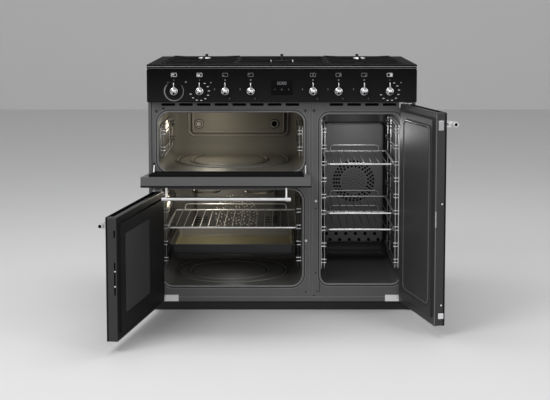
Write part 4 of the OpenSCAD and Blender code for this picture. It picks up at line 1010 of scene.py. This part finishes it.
# fan covers, with their rings of holes
covers = {    # x, z, middle of the rings, height of the holes' discs, and radius, count and hole size of each ring
    "main": {"x": (-0.320, -0.020), "z": (0.146, 0.356), "fan": (-0.170, 0.2525), "finish": "main_enamel",
             "height": 0.0016, "rings": [(0.0100 + 0.0110 * k, 6 + 6 * k, 0.0016) for k in range(7)]},
    "tall": {"x": (0.156, 0.378), "z": (0.149, 0.599), "fan": (0.267, 0.382), "finish": "cover_enamel",
             "height": 0.0004, "rings": [(0.0735, 34, 0.0043), (0.0640, 29, 0.0043), (0.0545, 24, 0.0043),
                                         (0.0400, 24, 0.0019), (0.0320, 19, 0.0019), (0.0240, 14, 0.0019),
                                         (0.0160, 10, 0.0019), (0.0080, 6, 0.0019)]}}
coverShape = {"back": 0.2155, "corner": 0.016, "edge": 0.009, "rim": (0.0018, 0.0012)}
coverSlots = {"out": (0.117, 0.141), "z": (-0.0255, -0.0165, -0.0075), "half": (0.010, 0.0016), "corner": 0.0015}
lowerHoles = {"rows": ((0.1835, 0.1665), (0.1605, 0.1800)), "count": 6, "pitch": 0.0360, "size": (0.0063, -0.0004)}
coverFace = boxOf("fan_covers")[0][1]
holeBase = coverFace + 0.0001


def holeRings(cover, grow, height):
    # rings of holes round the fan as low discs, each ring turned half a step from the last
    holes = []
    for k, (radius, count, size) in enumerate(cover["rings"]):
        start = 0 if k % 2 else 180 / count
        holes += [disc((x, holeBase, z), size + grow, -height, sides=10)
                  for x, z in arc(cover["fan"], radius, start, start + 360 - 360 / count, count)]
    return holes


for name, cover in covers.items():
    addPiece(name + "FanCover", pad(cover["x"], cover["z"], coverShape["corner"], coverShape["back"], coverFace,
                                    coverShape["edge"]), cover["finish"], "oven_enamel",
             replaced=("fan_covers",) if name == "main" else ())
    holes = holeRings(cover, 0, cover["height"])
    if name == "main":
        # painted glints on the holes' rims
        addPiece("mainFanCoverRims", holeRings(cover, *coverShape["rim"]), "hole_rim", "oven_enamel")
        (fanX, fanZ), (halfX, halfZ) = cover["fan"], coverSlots["half"]
        holes += [pad(about(fanX + side * out, halfX), about(fanZ + rise, halfZ), coverSlots["corner"], holeBase,
                      coverFace - 0.0003, 0.0002)
                  for side in (-1, 1) for rise in coverSlots["z"] for out in coverSlots["out"]]
    else:
        holes += [disc((first + k * lowerHoles["pitch"], holeBase, z), *lowerHoles["size"], sides=14)
                  for z, first in lowerHoles["rows"] for k in range(lowerHoles["count"])]
    addPiece(name + "FanCoverHoles", holes, "shadow", "oven_enamel")
print("scene: fan covers")

# pressed panel on the grill oven's back, with a lens and a bush
grillBack = {"x": (-0.336, 0.012), "z": (0.558, 0.648), "depth": (0.2150, 0.2040), "corner": 0.012,
             "lens": (-0.307, 0.594), "bush": (-0.0275, 0.594),
             "ring": [(0.0150, 0), (0.0150, -0.0030), (0.0138, -0.0042), (0.0118, -0.0042), (0.0106, -0.0030),
                      (0.0060, -0.0012)], "ringLines": ((0.0164, 0.0), (0.0098, 0.0024)), "line": 0.0016}


def grillBackPieces():
    # a raised rounded rectangle on a lower one, beads along both (the groove dark as painted shade, the edges pale as
    # painted highlights), and two turned rings painted pale as a painted highlight, with dark lines as painted shade
    base, top = grillBack["depth"]
    spanX, spanZ, corner = grillBack["x"], grillBack["z"], grillBack["corner"]
    addPiece("grillBackPanel", [pad(spanX, spanZ, corner, base, top, 0.006),
                                pad((spanX[0] - 0.012, spanX[1] + 0.012), (spanZ[0] - 0.012, spanZ[1]), 0.02, base,
                                    base - 0.003, 0.003)], "grill_enamel", "oven_enamel")
    spots = (grillBack["lens"], grillBack["bush"])
    addPiece("grillBackRings", [turned(grillBack["ring"], (x, top, z), "y", 32) for x, z in spots], "bead_light",
             "oven_enamel")
    addPiece("grillBackRingLines", [tube(placed(arc(spot, radius, 0, 354), top - rise), grillBack["line"], sides=8,
                                         closed=True) for spot in spots for radius, rise in grillBack["ringLines"]],
             "bead_dark", "oven_enamel")
    for name, out, depth, radius, finish in (("Groove", 0.0012, base - 0.0006, 0.0026, "bead_dark"),
                                             ("Edge", -0.0050, top + 0.0003, 0.0015, "bead_light"),
                                             ("OuterEdge", 0.0105, base - 0.0030, 0.0015, "bead_light")):
        addPiece("grillBack" + name, beadLoop(spanX, spanZ, corner, out, depth, radius), finish, "oven_enamel")
    x, z = grillBack["bush"]
    addPiece("grillBackBush", disc((x, top - 0.0012, z), 0.0085, -0.002), "shadow", "oven_enamel")


grillBackPieces()

# doors: worked out closed and turned to where they stand
frontSkin = {"proud": 0.0003, "back": 0.0045, "edge": 0.0012, "corner": 0.003, "over": 0.0002}
channel = {"y": (-0.2950, -0.2790), "inset": 0.016, "lift": 0.0004}
handleHollow = {"in": 0.0085, "radius": 0.0054, "height": 0.0003}
doorInside = {"pane": -0.260, "shellFace": -0.267, "skinInset": 0.0030, "window": ((-0.242, 0.022), (0.110, 0.353)),
              "field": ((0.142, 0.3795), (0.100, 0.658)), "fieldTop": -0.2575, "fieldCorner": 0.020,
              "edgeLine": (0.0012, 0.004, 0.0016)}
plates = {    # corner, sunk, height and rounding of the plates on a free edge
    "cover": (0.0006, 0.0002, 0.0005, 0.0003), "slot": (0.002, 0, 0.0004, 0.0003),
    "foot": (0.0015, 0, 0.0012, 0.0006), "strip": (0.0015, 0, 0.0006, 0.0003)}
mainCoverZ, tallCoverZ = (0.2065, 0.2475), (0.3425, 0.3835)
freeEdges = {    # finish, slot, kind and (y, z) of the plates, (radius, lift, height) and (y, z) of round heads
    "mainDoorCover": ("door_enamel", "door_enamel", "cover", [((-0.2925, -0.2750), mainCoverZ),
                                                              ((-0.2705, -0.2682), mainCoverZ)], None, ()),
    "mainDoorPlate": ("shadow", "door_enamel", "slot", [((-0.2750, -0.2705), (0.177, 0.277))], None, ()),
    "mainDoorScrews": ("chrome", "chrome", None, (), (0.0026, 0.0005, 0.0009), ((-0.2722, 0.250), (-0.2722, 0.204))),
    "mainDoorSlot": ("shadow", "door_enamel", "slot", [((-0.2755, -0.2705), (0.352, 0.374))], None, ()),
    "tallDoorFeet": ("chrome", "chrome", "foot", [((-0.2900, -0.2730), (0.6535, 0.6835)),
                                                  ((-0.2960, -0.2780), (0.0576, 0.0755))],
                     (0.0030, 0, 0.0010), ((-0.2880, 0.4225), (-0.2880, 0.1010))),
    "tallDoorCover": ("door_enamel", "door_enamel", "cover", [((-0.2925, -0.2705), tallCoverZ),
                                                              ((-0.2695, -0.2682), tallCoverZ)], None, ()),
    "tallDoorStrip": ("steel", "chrome", "strip", [((-0.2690, -0.2650), (0.350, 0.398))],
                      (0.0024, 0, 0.0014), ((-0.2670, 0.3975), (-0.2670, 0.3510)))}


def onDoor(name, parts, finish, slotName, body):
    addPiece(name, parts, finish, slotName, body, turn=doorTurn(body + "_hinge"))


def doorFront(name):
    # a black glass skin over the door's front; painted shade as a dark tube in the gap behind it, a dark disc in the
    # hollow of each handle ring and, on the side-hung doors, a dark pad over the air channel on top
    body = name + "_door"
    low, high = closedBox(body + "_shell", body + "_hinge")
    over, back = frontSkin["over"], low[1] + frontSkin["back"]
    x, z = ((low[k] - over, high[k] + over) for k in (0, 2))
    onDoor(name + "DoorFront", pad(x, z, frontSkin["corner"], back, low[1] - frontSkin["proud"], frontSkin["edge"]),
           "door_front", "door_enamel", body)
    gap = bent(placed([(x[1], z[1]), (x[0], z[1]), (x[0], z[0]), (x[1], z[0])], back), 0.004, True)
    onDoor(name + "DoorGap", tube(gap, 0.0009, sides=8, closed=True), "shadow", "door_enamel", body)
    barLow, barHigh = closedBox(body + "_handle", body + "_hinge")
    y, z = barLow[1] + handleHollow["in"], (barLow[2] + barHigh[2]) / 2
    onDoor(name + "HandleHollows", [disc((x, y, z), handleHollow["radius"], way * handleHollow["height"], "x")
                                    for x, way in ((barLow[0] + 0.0001, -1), (barHigh[0] - 0.0001, 1))],
           "shadow", "chrome", body)
    if name != "grill":
        onDoor(name + "DoorChannel", pad((low[0] + channel["inset"], high[0] - channel["inset"]), channel["y"], 0.003,
                                         high[2] - 0.0002, high[2] + channel["lift"], 0.0003, "z"),
               "shadow", "door_enamel", body)


def mainDoorGlass():
    # black glass out to the edge and the paler window inside the printed border
    low, high = closedBox("main_door_shell", "main_door_hinge")
    inset, inner, pane = (doorInside[key] for key in ("skinInset", "shellFace", "pane"))
    onDoor("mainDoorSkin", pad((low[0] + inset, high[0] - inset), (low[2] + inset, high[2] - inset), 0.004,
                               inner - 0.0004, inner + 0.0005, 0.0004), "door_glass", "door_glass", "main_door")
    onDoor("mainDoorWindow", pad(*doorInside["window"], 0.006, pane, pane + 0.0004, 0.0003), "window", "door_glass",
           "main_door")


def tallDoorLiner():
    # the pressed field of the liner with a bead round it in a paler copy of the liner as a painted highlight and a
    # groove round it darkened as painted shade, and a pale line down the shell's edge as a painted highlight
    pane, corner = doorInside["pane"], doorInside["fieldCorner"]
    onDoor("tallDoorField", pad(*doorInside["field"], corner, pane, doorInside["fieldTop"], 0.0024), "door_liner",
           "door_liner", "tall_door")
    for name, out, depth, radius, finish in (("Bead", 0.0035, pane + 0.0006, 0.0030, "liner_bead"),
                                             ("Groove", 0.0085, pane - 0.0008, 0.0012, "bead_dark")):
        onDoor("tallDoor" + name, beadLoop(*doorInside["field"], corner, out, depth, radius, 10, 10), finish,
               "door_liner", "tall_door")
    low, high = closedBox("tall_door_shell", "tall_door_hinge")
    inX, inZ, radius = doorInside["edgeLine"]
    line = [(low[0] + inX, doorInside["shellFace"], z) for z in (low[2] + inZ, high[2] - inZ)]
    onDoor("tallDoorEdgeLine", tube(line, radius, sides=10), "edge_line", "door_enamel", "tall_door")


def freeEdge(name, finish, slotName, kind, spans, head, spots):
    # plates and round heads on the free edge of a side-hung door; the cover's two strips leave a slit for the catch
    body = name[:4] + "_door"
    low, high = closedBox(body + "_shell", body + "_hinge")
    edge, way = (high[0], 1) if body == "main_door" else (low[0], -1)
    parts = []
    for y, z in spans:
        corner, sunk, height, rounding = plates[kind]
        parts.append(pad(y, z, corner, edge - way * sunk, edge + way * height, rounding, "x"))
    for y, z in spots:
        radius, lift, height = head
        parts.append(disc((edge + way * lift, y, z), radius, way * height, "x"))
    onDoor(name, parts, finish, slotName, body)


for name in ("grill", "main", "tall"):
    doorFront(name)
mainDoorGlass()
tallDoorLiner()
for name, row in freeEdges.items():
    freeEdge(name, *row)
print("scene: door details")

# lamps in the ovens
lampLens = {"share": {"grill_cavity": (0.60, 0.62), "main_cavity": (0.55, 0.74)},    # of the depth and height
            "profile": [(0.023, 0.0), (0.0225, 0.003), (0.016, 0.006), (0.006, 0.0075), (0.0005, 0.008)]}
for nodeName, (depthShare, heightShare) in lampLens["share"].items():
    low, high = boxOf(nodeName)
    centre = low + (high - low) * (0, depthShare, heightShare) + (flange + 0.0005, 0, 0)
    addPiece(nodeName + "Lamp", turned(lampLens["profile"], centre, "x", 32), "lens", "display")

addCamera()
addLamps()
addRoom()
print("scene: done")
